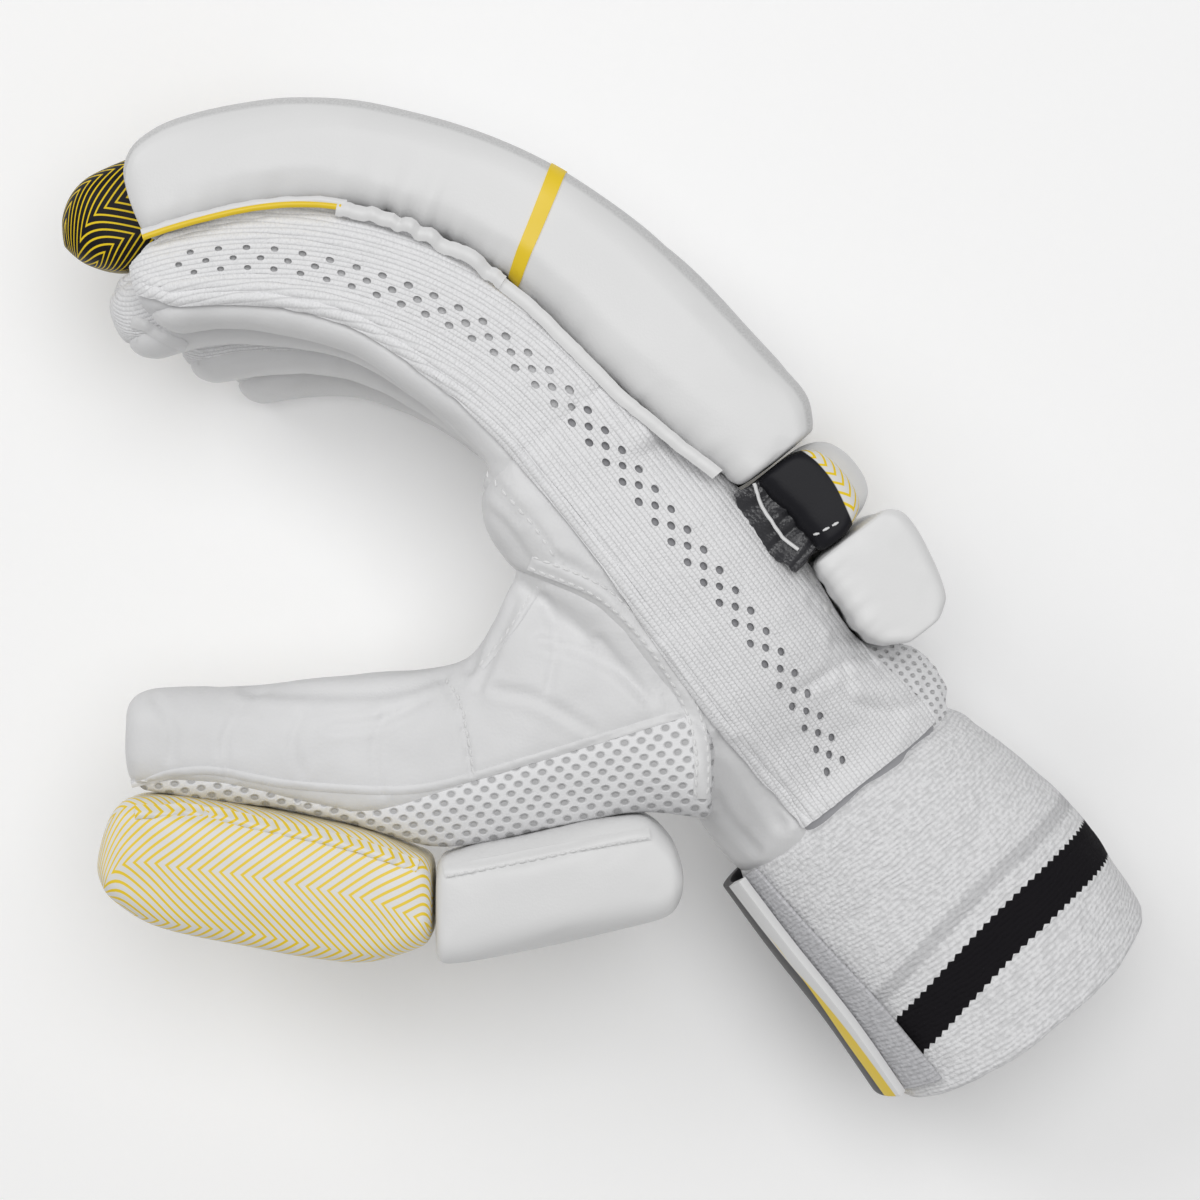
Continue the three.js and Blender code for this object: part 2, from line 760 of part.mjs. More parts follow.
addPiece("thumb_tip_pad", thumbPad(thumbTipOutline, thumbTipPad), "padLined");
addPiece("thumb_rear_pad", thumbPad(thumbRearOutline, thumbRearPad), "padWhite");

export default glove;
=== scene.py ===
"""Cricket batting glove for the right hand, lying on its little-finger side, seen from above.

Lengths are millimetres until they are put into a mesh. "Along" runs from the wrist to the
fingertips, "out" from the palm side to the back of the hand, and z from the little finger up to
the index finger, as in the solids that these pieces stand for.
"""
import json
import math

import bpy
import numpy as np
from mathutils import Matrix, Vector, noise
from mathutils.bvhtree import BVHTree

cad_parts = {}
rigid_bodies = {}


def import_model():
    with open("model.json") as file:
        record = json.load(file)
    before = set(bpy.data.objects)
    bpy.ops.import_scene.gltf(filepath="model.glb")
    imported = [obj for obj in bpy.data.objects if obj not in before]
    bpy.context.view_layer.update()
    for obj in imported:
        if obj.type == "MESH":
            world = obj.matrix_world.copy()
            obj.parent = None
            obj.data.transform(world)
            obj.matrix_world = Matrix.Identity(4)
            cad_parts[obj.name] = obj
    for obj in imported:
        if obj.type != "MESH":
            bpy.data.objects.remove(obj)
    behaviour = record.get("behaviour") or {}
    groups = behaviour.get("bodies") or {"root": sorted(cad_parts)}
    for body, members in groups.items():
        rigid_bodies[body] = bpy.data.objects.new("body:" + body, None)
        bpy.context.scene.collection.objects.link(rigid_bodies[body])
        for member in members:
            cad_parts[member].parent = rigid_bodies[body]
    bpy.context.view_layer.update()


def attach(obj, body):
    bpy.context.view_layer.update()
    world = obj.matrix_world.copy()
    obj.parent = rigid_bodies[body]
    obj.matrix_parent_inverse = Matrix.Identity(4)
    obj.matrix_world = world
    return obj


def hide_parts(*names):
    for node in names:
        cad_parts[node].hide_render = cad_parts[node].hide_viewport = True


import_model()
MM = 0.001

# The glove's driving sizes.
WRIST_X, WRIST_Y, HEADING = 58.8, -44.7, math.radians(128)
HAND_LENGTH, HAND_HALF_DEPTH, BEND_RADIUS = 112, 35, 95
FINGER_LENGTH, FINGER_WIDTH, FINGER_SPACE, FINGER_DEPTH = 118, 22, 2, 29
FINGER_CORNER, FINGER_BELLY, FINGERTIP_DOME = 7.5, 5.8, 9
FINGER_ROOT, WEBBING = 96.3, 116.5
FLOOR_CLEARANCE = 0.5
PITCH = FINGER_WIDTH + FINGER_SPACE
BREADTH = 3 * PITCH + FINGER_WIDTH
WHOLE_LENGTH = HAND_LENGTH + FINGER_LENGTH
ROLL_DEPTH, ROLL_WIDTH, PAD_CORNER, PAD_SEAT, PAD_GAP = 31, PITCH - 1, 6, 0.5, 1.2
ROLL_START, ROLL_END, INDEX_OVERHANG = 74, 225, 2.5
CAP_LENGTH, CAP_DEPTH, CAP_NOSE, CAP_CORNER, CAP_OVERHANG = 26.4, 26.3, 10.5, 7.8, 2
KNUCKLE_LENGTH, KNUCKLE_DEPTH, TALL_KNUCKLE_DEPTH = 24, 20, 26
BLOCK_LENGTH, BLOCK_DEPTH, BACK_PAD_SEAT, BACK_PAD_CORNER = 30, 25, 28.7, 4.2
THUMB_X, THUMB_Y, THUMB_Z, THUMB_RISE = 23.8, -38.5, 69.1, 2.7
THUMB_LENGTH, THUMB_HALF_DEPTH, THUMB_WIDTH, THUMB_OVAL = 145.5, 20, 27, 0.8
CUFF_START, CUFF_LENGTH, CUFF_HALF_DEPTH, CUFF_HEIGHT, CUFF_Z = -4.2, 71, 35, 58, 43.7
CUFF_LEAN, CUFF_OVAL, CUFF_WALL = 8, 0.96, 3

# Thicknesses of the finished cloth and leather.
LEATHER_WALL, KNIT_WALL, SKIN_VOXEL = 1.4, 0.9, 1.3


def table(columns, *rows):
    """A short table with named columns."""
    return {name: np.array([row[i] for row in rows]) for i, name in enumerate(columns.split())}


HAND = table(
    "at palm back low high corner",
    (-0.08, -0.93, 1.0, 0.18, 0.74, 0.84),
    (-0.034, -0.98, 1.05, 0.151, 0.768, 0.84),
    (0.0, -0.98, 1.12, 0.14, 0.76, 0.84),
    (0.09, -0.97, 1.12, 0.1, 0.79, 0.8),
    (0.155, -0.95, 0.98, 0.06, 0.83, 0.74),
    (0.21, -0.92, 0.8, 0.03, 0.87, 0.68),
    (0.3, -0.88, 0.79, 0.005, 0.92, 0.62),
    (0.45, -0.85, 0.82, 0.0, 0.965, 0.56),
    (0.65, -0.86, 0.76, 0.0, 0.995, 0.52),
    (0.83, -0.9, 0.6, 0.0, 1.0, 0.5),
    (0.94, -0.86, 0.52, 0.0, 1.0, 0.46),
    (1.04, -0.68, 0.47, 0.0, 1.0, 0.42),
)
SEAMS = table(
    "at leather back",
    (0.0, -0.47, 1.1),
    (0.13, -0.52, 0.93),
    (0.22, -0.5, 1.0),
    (0.31, -0.46, 0.93),
    (0.41, -0.44, 0.73),
    (0.52, -0.47, 0.58),
    (0.64, -0.42, 0.65),
    (0.76, -0.26, 0.72),
    (0.83, -0.2, 0.7),
    (0.93, -0.12, 0.58),
    (1.06, -0.06, 0.48),
)
ROLL = table(
    "at top",
    (0.0, 0.74), (0.05, 0.93), (0.13, 1.01), (0.28, 1.07), (0.5, 0.96),
    (0.67, 0.86), (0.83, 0.87), (0.93, 0.85), (0.97, 0.78), (1.0, 0.66),
)
CAP = table(
    "into top under wide",
    (-2.0, 1, 0, 1), (0.0, 1, 0, 1), (0.45, 0.93, 0.1, 0.93),
    (0.8, 0.78, 0.26, 0.74), (1.0, 0.6, 0.4, 0.55),
)
KNUCKLE = table("at top", (0.0, 0.62), (0.13, 0.9), (0.5, 1.0), (0.87, 0.9), (1.0, 0.7))
BLOCK = table("at top", (0.0, 0.66), (0.1, 0.84), (0.55, 1.0), (0.9, 1.02), (1.0, 0.9))
THUMB = table(
    "at back palm wide",
    (-0.02, -0.8, 0.6, 1.3), (0.04, -0.74, 1.2, 1.36), (0.1, -0.7, 1.6, 1.36),
    (0.24, -0.9, 2.2, 1.3), (0.315, -1.03, 2.34, 1.22), (0.35, -1.08, 1.86, 1.14),
    (0.395, -1.13, 1.32, 1.06), (0.475, -1.14, 1.12, 1.0), (0.57, -0.92, 1.07, 1.0),
    (0.77, -0.62, 0.93, 0.98), (0.95, -0.46, 0.88, 0.94), (1.0, -0.38, 0.82, 0.88),
)
THUMB_SEAM = table(
    "at seam",
    (-0.1, 0.65), (0.07, 0.5), (0.24, 0.06), (0.43, -0.37),
    (0.57, -0.69), (0.69, -0.56), (0.86, -0.29), (1.05, -0.4),
)
THUMB_TIP = table(
    "at inner outer",
    (0.0, 0.04, -1.42), (0.18, 0, -1.56), (0.36, 0, -1.53), (0.55, 0, -1.44),
    (0.75, 0, -1.34), (0.86, 0, -1.25), (0.95, 0.12, -1.1), (1.0, 0.4, -0.98),
)
THUMB_REAR = table(
    "at inner outer",
    (0.0, 0.35, -1.26), (0.06, 0.16, -1.38), (0.17, 0, -1.45),
    (0.5, 0, -1.6), (0.85, 0, -1.77), (1.0, 0.04, -1.8),
)
CUFF = table("at palm back", (0.0, -0.98, 1.05), (0.3, -1.0, 1.21), (0.65, -1.0, 1.32), (1.0, -1.04, 1.26))

# Where the thumb's leather is sewn to the palm's, and the middle of the rows of holes.
THUMB_ROOT = table(
    "at out",
    (8.8, -37.6), (20.3, -23.9), (32.4, -19.1), (48.4, -19.3), (71.4, -20.3), (93.2, -31.9),
)
HOLE_LINE = table(
    "at out",
    (-4, 0.6), (14, 4.2), (40, 6.5), (90, 6.2), (120, 5.0), (165, 3.8), (185, 5.0), (200, 6.5), (220, 6.8),
)
FINGERS = [
    {"name": "little", "reach": 0.9, "drop": 0.55, "swell": 0.0, "capped": False},
    {"name": "ring", "reach": 0.99, "drop": 0.34, "swell": 0.08, "capped": True},
    {"name": "middle", "reach": 1.09, "drop": 0.07, "swell": 0.1, "capped": True},
    {"name": "index", "reach": 1.0, "drop": 0.0, "swell": 0.0, "capped": False},
]
for number, finger in enumerate(FINGERS):
    finger["centre"] = FLOOR_CLEARANCE + FINGER_WIDTH / 2 + number * PITCH
    finger["tip"] = HAND_LENGTH + FINGER_LENGTH * finger["reach"]
    finger["stretch"] = (finger["reach"] - 1) * FINGER_LENGTH
INDEX = FINGERS[-1]


def column(rows, name, at, key="at"):
    """Value of a table's column at one place or many, on a smooth curve through its rows."""
    places, values = rows[key].astype(float), rows[name].astype(float)
    slopes = np.empty_like(values)
    slopes[1:-1] = (values[2:] - values[:-2]) / (places[2:] - places[:-2])
    slopes[0] = (values[1] - values[0]) / (places[1] - places[0])
    slopes[-1] = (values[-1] - values[-2]) / (places[-1] - places[-2])
    at = np.clip(np.asarray(at, float), places[0], places[-1])
    i = np.clip(np.searchsorted(places, at, side="right") - 1, 0, len(places) - 2)
    span = places[i + 1] - places[i]
    t = (at - places[i]) / span
    ease = t * t * (3 - 2 * t)
    level = values[i] * (1 - ease) + values[i + 1] * ease
    return level + span * t * (1 - t) * ((1 - t) * slopes[i] - t * slopes[i + 1])


def smoothstep(low, high, value):
    t = np.clip((np.asarray(value, float) - low) / (high - low), 0, 1)
    return t * t * (3 - 2 * t)


# Places on the glove.
BEND_X = WRIST_X + HAND_LENGTH * math.cos(HEADING) - BEND_RADIUS * math.sin(HEADING)
BEND_Y = WRIST_Y + HAND_LENGTH * math.sin(HEADING) + BEND_RADIUS * math.cos(HEADING)
BACK = HEADING - math.pi / 2


def in_hand(along, out, z):
    """A point of the hand or a finger: straight to the knuckles, then round the finger bend."""
    along, out, z = np.broadcast_arrays(*[np.asarray(v, float) for v in (along, out, z)])
    short = np.minimum(along - HAND_LENGTH, 0)
    turned = BACK + np.maximum(along - HAND_LENGTH, 0) / BEND_RADIUS
    reach = BEND_RADIUS + out
    x = BEND_X + short * math.cos(HEADING) + reach * np.cos(turned)
    y = BEND_Y + short * math.sin(HEADING) + reach * np.sin(turned)
    return np.stack([x, y, z], axis=-1)


def hand_place(points):
    """The along and out of points, the other way round."""
    x, y = points[:, 0] - BEND_X, points[:, 1] - BEND_Y
    ahead = x * math.cos(HEADING) + y * math.sin(HEADING)
    aside = x * math.sin(HEADING) - y * math.cos(HEADING)
    bent = ahead > 0
    along = HAND_LENGTH + np.where(bent, np.arctan2(ahead, aside) * BEND_RADIUS, ahead)
    out = np.where(bent, np.hypot(x, y), aside) - BEND_RADIUS
    return along, out


def in_thumb(along, out, z):
    along, out, z = np.broadcast_arrays(*[np.asarray(v, float) for v in (along, out, z)])
    return np.stack([THUMB_X - along, THUMB_Y + out, z], axis=-1)


# The photograph's view: straight down from CAMERA_Z, PIXEL millimetres a pixel at TOP_Z.
CAMERA_X, CAMERA_Y, CAMERA_Z, LENS, SENSOR, IMAGE = -1.225, 1.55, 923.33, 100, 36, 1200
TOP_Z = 90
PIXEL = (CAMERA_Z - TOP_Z) * SENSOR / LENS / IMAGE


def seen_at(pixels, z=TOP_Z):
    """Where pixels of the photograph lie in plan, at a level."""
    pixels = np.asarray(pixels, float)
    scale = PIXEL * (CAMERA_Z - z) / (CAMERA_Z - TOP_Z)
    x = CAMERA_X + (pixels[:, 0] - IMAGE / 2) * scale
    y = CAMERA_Y - (pixels[:, 1] - IMAGE / 2) * scale
    return np.stack([x, y], axis=-1)


def seam_at(name, along):
    return FINGER_DEPTH * column(SEAMS, name, np.asarray(along) / WHOLE_LENGTH)


def drop_at(finger, along):
    share = np.clip((np.asarray(along) - WEBBING) / FINGER_LENGTH, 0, 1)
    return finger["drop"] * FINGER_DEPTH * share * share * (3 - 2 * share)


def seat_at(finger, along):
    return seam_at("back", along) - drop_at(finger, along) + PAD_SEAT


def rounded(turn, palm, back, low, high, corner_out, corner_up):
    """Points of a rounded rectangle, at shares of the way round it from the middle of its back."""
    half_out, half_up = (back - palm) / 2, (high - low) / 2
    corner_out = np.minimum(corner_out, half_out * 0.96)
    corner_up = np.minimum(corner_up, half_up * 0.96)
    quarter = np.floor(turn * 4) % 4
    share = turn * 4 - np.floor(turn * 4)
    share = np.where(quarter % 2 == 1, 1 - share, share)
    flat_up, flat_out = half_up - corner_up, half_out - corner_out
    arc = (corner_out + corner_up) * math.pi / 4
    run = share * (flat_up + arc + flat_out)
    angle = np.clip((run - flat_up) / arc, 0, 1) * math.pi / 2
    up = np.minimum(run, flat_up) + corner_up * np.sin(angle)
    out = flat_out - np.maximum(run - flat_up - arc, 0) + corner_out * np.cos(angle)
    sign_out = np.where((quarter == 0) | (quarter == 3), 1, -1)
    sign_up = np.where(quarter < 2, 1, -1)
    return (palm + back) / 2 + sign_out * out, (low + high) / 2 + sign_up * up


# Handling of Blender objects.
def pick(obj):
    bpy.ops.object.select_all(action="DESELECT")
    obj.select_set(True)
    bpy.context.view_layer.objects.active = obj


def start_edit(obj, kind="FACE"):
    pick(obj)
    bpy.ops.object.mode_set(mode="EDIT")
    bpy.ops.mesh.select_mode(type=kind)
    bpy.ops.mesh.select_all(action="DESELECT")


def end_edit():
    bpy.ops.object.mode_set(mode="OBJECT")


def select_faces(obj, chosen):
    """Ends in edit mode with those faces selected."""
    start_edit(obj)
    end_edit()
    obj.data.polygons.foreach_set("select", np.asarray(chosen, bool))
    bpy.ops.object.mode_set(mode="EDIT")


def points_of(obj):
    flat = np.empty(len(obj.data.vertices) * 3)
    obj.data.vertices.foreach_get("co", flat)
    return flat.reshape(-1, 3) / MM


def set_points(obj, points):
    obj.data.vertices.foreach_set("co", (points * MM).ravel())
    obj.data.update()


def normals_of(obj):
    flat = np.empty(len(obj.data.vertices) * 3)
    obj.data.vertex_normals.foreach_get("vector", flat)
    return flat.reshape(-1, 3)


def face_centres(obj):
    flat = np.empty(len(obj.data.polygons) * 3)
    obj.data.polygons.foreach_get("center", flat)
    return flat.reshape(-1, 3) / MM


def edges_of(obj):
    flat = np.empty(len(obj.data.edges) * 2, int)
    obj.data.edges.foreach_get("vertices", flat)
    return flat.reshape(-1, 2)


def set_map(obj, across, up):
    """The piece's own map, in metres of cloth, from two numbers at each vertex."""
    layer = obj.data.uv_layers[0] if obj.data.uv_layers else obj.data.uv_layers.new(name="cloth")
    layer.name = "cloth"
    corner = np.empty(len(obj.data.loops), int)
    obj.data.loops.foreach_get("vertex_index", corner)
    pairs = np.stack([across[corner], up[corner]], axis=-1) * MM
    layer.data.foreach_set("uv", pairs.astype(np.float32).ravel())


def modify(obj, kind, **settings):
    pick(obj)
    modifier = obj.modifiers.new(kind.lower(), kind)
    for name, value in settings.items():
        setattr(modifier, name, value)
    bpy.ops.object.modifier_apply(modifier=modifier.name)


def subdivide(obj, levels=1):
    modify(obj, "SUBSURF", levels=levels, render_levels=levels, uv_smooth="PRESERVE_BOUNDARIES")


def mark(obj, name, values):
    """Keeps a number at each vertex, for a material to read."""
    layer = obj.data.attributes.new(name, "FLOAT", "POINT")
    layer.data.foreach_set("value", values.astype(np.float32))


def mended(obj, merged=True, filled=False):
    """Merges a rolled-up grid's seam, fills its ends and turns its faces outwards."""
    start_edit(obj, "VERT")
    bpy.ops.mesh.select_all(action="SELECT")
    if merged:
        bpy.ops.mesh.remove_doubles(threshold=1e-5)
        bpy.ops.mesh.select_all(action="SELECT")
    if filled:
        bpy.ops.mesh.fill_holes(sides=0)
        bpy.ops.mesh.select_all(action="SELECT")
    bpy.ops.mesh.normals_make_consistent(inside=False)
    end_edit()
    return obj


def joined(name, pieces):
    bpy.ops.object.select_all(action="DESELECT")
    for piece in pieces:
        piece.select_set(True)
    bpy.context.view_layer.objects.active = pieces[0]
    bpy.ops.object.join()
    whole = bpy.context.object
    whole.name = whole.data.name = name
    return whole


def grid(name, columns, rows):
    """A flat grid, and the column and row of each of its vertices."""
    bpy.ops.object.select_all(action="DESELECT")
    bpy.ops.mesh.primitive_grid_add(x_subdivisions=columns, y_subdivisions=rows, size=1)
    obj = bpy.context.object
    obj.name = obj.data.name = name
    share = points_of(obj)[:, :2] * MM + 0.5
    return obj, np.rint(share[:, 0] * columns).astype(int), np.rint(share[:, 1] * rows).astype(int)


def profile(start, end, step, first_nose, last_nose):
    """Rings of a stuffed piece with rounded ends: place, how far drawn in, and size."""
    quarter = np.linspace(0, math.pi / 2, 6)
    caps = np.array([0.08, 0.4, 0.72])
    count = max(2, int(round((end - start - first_nose - last_nose) / step)))
    middle = np.linspace(start + first_nose, end - last_nose, count + 1)[1:-1]
    first = start + first_nose * (1 - np.cos(quarter))
    last = end - last_nose * (1 - np.cos(quarter))
    along = np.concatenate([[start] * 3, first, middle, last[::-1], [end] * 3])
    drawn = np.concatenate([
        [first_nose] * 3,
        first_nose * (1 - np.sin(quarter)),
        np.zeros(len(middle)),
        last_nose * (1 - np.sin(quarter[::-1])),
        [last_nose] * 3,
    ])
    size = np.concatenate([caps, np.ones(len(along) - 6), caps[::-1]])
    return along, drawn, size


ROUNDED_GIRTH = 0.93


def round_ring(sizes, turn, drawn=0.0, size=1.0):
    """Out, up, lean and girth round a section that is drawn in and scaled about its middle."""
    palm, back = sizes["palm"] + drawn, sizes["back"] - drawn
    low, high = sizes["low"] + drawn, sizes["high"] - drawn
    half_out, half_up = (back - palm) / 2, (high - low) / 2
    oval = sizes.get("oval", 0)
    corner_out = sizes.get("corner", oval * half_out)
    corner_up = sizes.get("corner", oval * half_up)
    out, up = rounded(turn, palm, back, low, high, corner_out, corner_up)
    middle_out, middle_up = (palm + back) / 2, (low + high) / 2
    out = middle_out + (out - middle_out) * size
    up = middle_up + (up - middle_up) * size
    lean = sizes.get("lean", 0) * (up - middle_up) / half_up
    return out, up, lean, 4 * (half_out + half_up) * ROUNDED_GIRTH


def ring_sizes(section, along, at):
    """A section's sizes at each vertex of a grid, from those at each ring."""
    return {key: np.broadcast_to(value, along.shape)[at] for key, value in section(along).items()}


def tube(name, rings, around, section, place, centred=False):
    """A closed skin over rings. section gives palm, back, low, high and corner at each place.

    A centred one's map counts from the middle of its back both ways.
    """
    along, drawn, size = rings
    obj, at, row = grid(name, len(along) - 1, around)
    turn = row / around
    out, up, lean, girth = round_ring(ring_sizes(section, along, at), turn, drawn[at], size[at])
    set_points(obj, place(along[at] - lean, out, up))
    from_middle = np.where(turn > 0.5, turn - 1, turn) if centred else turn
    set_map(obj, along[at], from_middle * girth)
    return mended(obj, filled=True)


WAVE_FALL, WAVE_STEP, WAVE_LAYERS = 1.0, 2.0, 2


def waves(points, size, seed):
    """Smooth noise from -1 to 1 at each point."""
    shift = Vector((seed * 7.3, seed * 3.1, seed * 5.7))
    made = [noise.fractal(Vector(p / size) + shift, WAVE_FALL, WAVE_STEP, WAVE_LAYERS) for p in points]
    return np.clip(made, -1, 1)


def distance_to(route, spots):
    """Distance in plan from each spot to a route."""
    best = np.full(len(spots), 1e9)
    for a, b in zip(route[:-1], route[1:]):
        step = b - a
        t = np.clip((spots - a) @ step / (step @ step), 0, 1)
        best = np.minimum(best, np.hypot(*(spots - a - t[:, None] * step).T))
    return best


def route_run(route):
    """The distance along a route at each of its points."""
    return np.concatenate([[0], np.cumsum(np.hypot(*np.diff(route, axis=0).T))])


def route_points(route, places):
    """Points of a route at distances along it."""
    run = route_run(route)
    return np.stack([np.interp(places, run, route[:, 0]), np.interp(places, run, route[:, 1])], axis=-1)


def route_ahead(route, places):
    """Short steps in a route's direction, at distances along it."""
    return route_points(route, places + 0.5) - route_points(route, places - 0.5)


ROUTE_STEPS = 8


def curved(pixels, z=TOP_Z):
    """A smooth route in plan through a few pixels of the photograph."""
    spots = seen_at(pixels, z)
    rows = {"at": np.arange(len(spots)), "x": spots[:, 0], "y": spots[:, 1]}
    at = np.linspace(0, len(spots) - 1, (len(spots) - 1) * ROUTE_STEPS + 1)
    return np.stack([column(rows, "x", at), column(rows, "y", at)], axis=-1)


PRESSURE, STIFFNESS, LAST_MOMENT = 4, 25, 20


def inflate(obj, most):
    """Foam under a cover: a short run of cloth under pressure, with each point's travel capped."""
    before = points_of(obj)
    pick(obj)
    cloth = obj.modifiers.new("cover", "CLOTH")
    cloth.settings.quality = 4
    cloth.settings.use_pressure = True
    cloth.settings.uniform_pressure_force = PRESSURE
    cloth.settings.effector_weights.gravity = 0
    cloth.settings.tension_stiffness = STIFFNESS
    cloth.settings.compression_stiffness = STIFFNESS
    for moment in range(1, LAST_MOMENT + 1):
        bpy.context.scene.frame_set(moment)
    bpy.ops.object.modifier_apply(modifier=cloth.name)
    bpy.context.scene.frame_set(1)
    travel = points_of(obj) - before
    reach = np.linalg.norm(travel, axis=1)
    travel *= (np.minimum(reach, most) / np.maximum(reach, 1e-6))[:, None]
    set_points(obj, before + travel)


def finished(obj, material, nodes=(), angle=40):
    """Gives a piece its material and body, shades it smooth by angle, and hides the solids it stands for.
    """
    obj.data.materials.clear()
    obj.data.materials.append(material)
    pick(obj)
    bpy.ops.object.shade_smooth_by_angle(angle=math.radians(angle))
    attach(obj, "root")
    if nodes:
        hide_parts(*nodes)
    return obj


# Shader building.
class Shader:
    """Adds nodes to a tree and links them. In a material, surface is its Principled shader."""

    def __init__(self, tree):
        self.tree = tree
        self.surface = tree.nodes.get("Principled BSDF")

    def node(self, kind, inputs=None, **settings):
        made = self.tree.nodes.new(kind)
        for name, value in settings.items():
            setattr(made, name, value)
        for name, value in (inputs or {}).items():
            self.feed(made.inputs[name], value)
        return made

    def feed(self, socket, value):
        if isinstance(value, bpy.types.NodeSocket):
            self.tree.links.new(value, socket)
        else:
            socket.default_value = value

    def math(self, operation, *values):
        return self.node("ShaderNodeMath", dict(enumerate(values)), operation=operation).outputs[0]

    def plus(self, *values):
        return self.math("ADD", *values)

    def times(self, *values):
        return self.math("MULTIPLY", *values)

    def over(self, *values):
        return self.math("DIVIDE", *values)

    def split(self, vector):
        return self.node("ShaderNodeSeparateXYZ", {0: vector}).outputs

    def attribute(self, name):
        return self.node("ShaderNodeAttribute", attribute_name=name).outputs["Fac"]

    def vector(self, operation, *values):
        made = self.node("ShaderNodeVectorMath", dict(enumerate(values)), operation=operation)
        return made.outputs["Value" if operation in ("LENGTH", "DISTANCE") else "Vector"]

    def scaled(self, vector, amount):
        return self.node("ShaderNodeVectorMath", {0: vector, "Scale": amount}, operation="SCALE").outputs[0]

    def noise(self, vector, scale, detail=2.0, roughness=0.5):
        inputs = {"Vector": vector, "Scale": scale, "Detail": detail, "Roughness": roughness}
        return self.node("ShaderNodeTexNoise", inputs).outputs["Fac"]

    def ramp(self, value, low, high, first=0.0, last=1.0):
        inputs = {"Value": value, "From Min": low, "From Max": high, "To Min": first, "To Max": last}
        return self.node("ShaderNodeMapRange", inputs, interpolation_type="SMOOTHSTEP").outputs[0]

    def mix(self, share, first, second):
        made = self.node("ShaderNodeMix", data_type="RGBA")
        self.feed(made.inputs[0], share)
        self.feed(made.inputs[6], first)
        self.feed(made.inputs[7], second)
        return made.outputs[2]

    def colour(self, value):
        self.feed(self.surface.inputs["Base Color"], value)

    def relief(self, height, strength, depth):
        inputs = {"Height": height, "Strength": strength, "Distance": depth * MM}
        self.feed(self.surface.inputs["Normal"], self.node("ShaderNodeBump", inputs).outputs["Normal"])

    def group(self, tree, **inputs):
        made = self.node("ShaderNodeGroup", node_tree=tree)
        for name, value in inputs.items():
            self.feed(made.inputs[name.replace("_", " ").capitalize()], value)
        return made.outputs


def new_group(name, inputs, outputs):
    tree = bpy.data.node_groups.new(name, "ShaderNodeTree")
    for socket, kind in inputs.items():
        tree.interface.new_socket(socket, in_out="INPUT", socket_type=kind)
    for socket, kind in outputs.items():
        tree.interface.new_socket(socket, in_out="OUTPUT", socket_type=kind)
    shader = Shader(tree)
    return tree, shader, shader.node("NodeGroupInput").outputs, shader.node("NodeGroupOutput").inputs


FLOAT, VECTOR = "NodeSocketFloat", "NodeSocketVector"


def leather_grain():
    """Fine pebbled grain with soft wrinkles."""
    tree, make, given, out = new_group(
        "leather_grain", {"Vector": VECTOR, "Grain": FLOAT}, {"Height": FLOAT, "Shade": FLOAT}
    )
    scale = make.over(1.0, given["Grain"])
    cells = make.node("ShaderNodeTexVoronoi", {"Vector": given["Vector"], "Scale": scale}, feature="F1")
    pebble = make.times(cells.outputs["Distance"], 0.6)
    folds = make.noise(given["Vector"], make.times(scale, 0.13), 4.0, 0.6)
    fold_height = make.times(folds, 1.8)
    make.feed(out["Height"], make.plus(pebble, fold_height))
    make.feed(out["Shade"], make.noise(given["Vector"], make.times(scale, 0.035), 3.0))
    return tree


def rib_knit():
    """Knitted ribs along the first direction of the map, a loop every pitch along them."""
    tree, make, given, out = new_group(
        "rib_knit", {"Vector": VECTOR, "Pitch": FLOAT}, {"Height": FLOAT, "Shade": FLOAT}
    )
    parts = make.split(given["Vector"])
    across = make.over(parts["Y"], given["Pitch"])
    ahead = make.over(parts["X"], make.times(given["Pitch"], 0.8))
    rib = make.math("ABSOLUTE", make.math("SINE", make.times(across, math.pi)))
    side = make.times(make.math("FLOOR", across), 0.5)
    loop = make.math("SINE", make.times(make.plus(ahead, side), 2 * math.pi))
    uneven = make.noise(given["Vector"], 900.0, 2.0)
    height = make.plus(rib, make.times(loop, 0.28))
    make.feed(out["Height"], make.plus(height, make.times(uneven, 0.7)))
    make.feed(out["Shade"], make.ramp(rib, 0.0, 0.55))
    return tree


def round_holes():
    """Staggered oval holes, for a net with six-sided meshes."""
    tree, make, given, out = new_group(
        "round_holes",
        {"Vector": VECTOR, "Pitch": FLOAT, "Hole": FLOAT},
        {"Hole": FLOAT, "Height": FLOAT},
    )
    share = make.scaled(given["Vector"], make.over(1.0, given["Pitch"]))
    wander = make.noise(given["Vector"], 160.0, 1.0)
    share = make.vector("ADD", share, make.scaled(wander, 0.12))
    near = []
    flattened = (1.0, 1.35, 0.0)
    for shift in (0.0, 0.5):
        moved = make.vector("ADD", share, (shift, shift, 0.0))
        inside = make.vector("SUBTRACT", make.vector("FRACTION", moved), (0.5, 0.5, 0.0))
        near.append(make.vector("LENGTH", make.vector("MULTIPLY", inside, flattened)))
    gap = make.times(make.math("MINIMUM", *near), given["Pitch"])
    edge = make.over(gap, make.times(given["Hole"], 0.5))
    make.feed(out["Hole"], make.ramp(edge, 0.75, 1.1, 1.0, 0.0))
    make.feed(out["Height"], make.ramp(edge, 0.6, 1.45))
    return tree


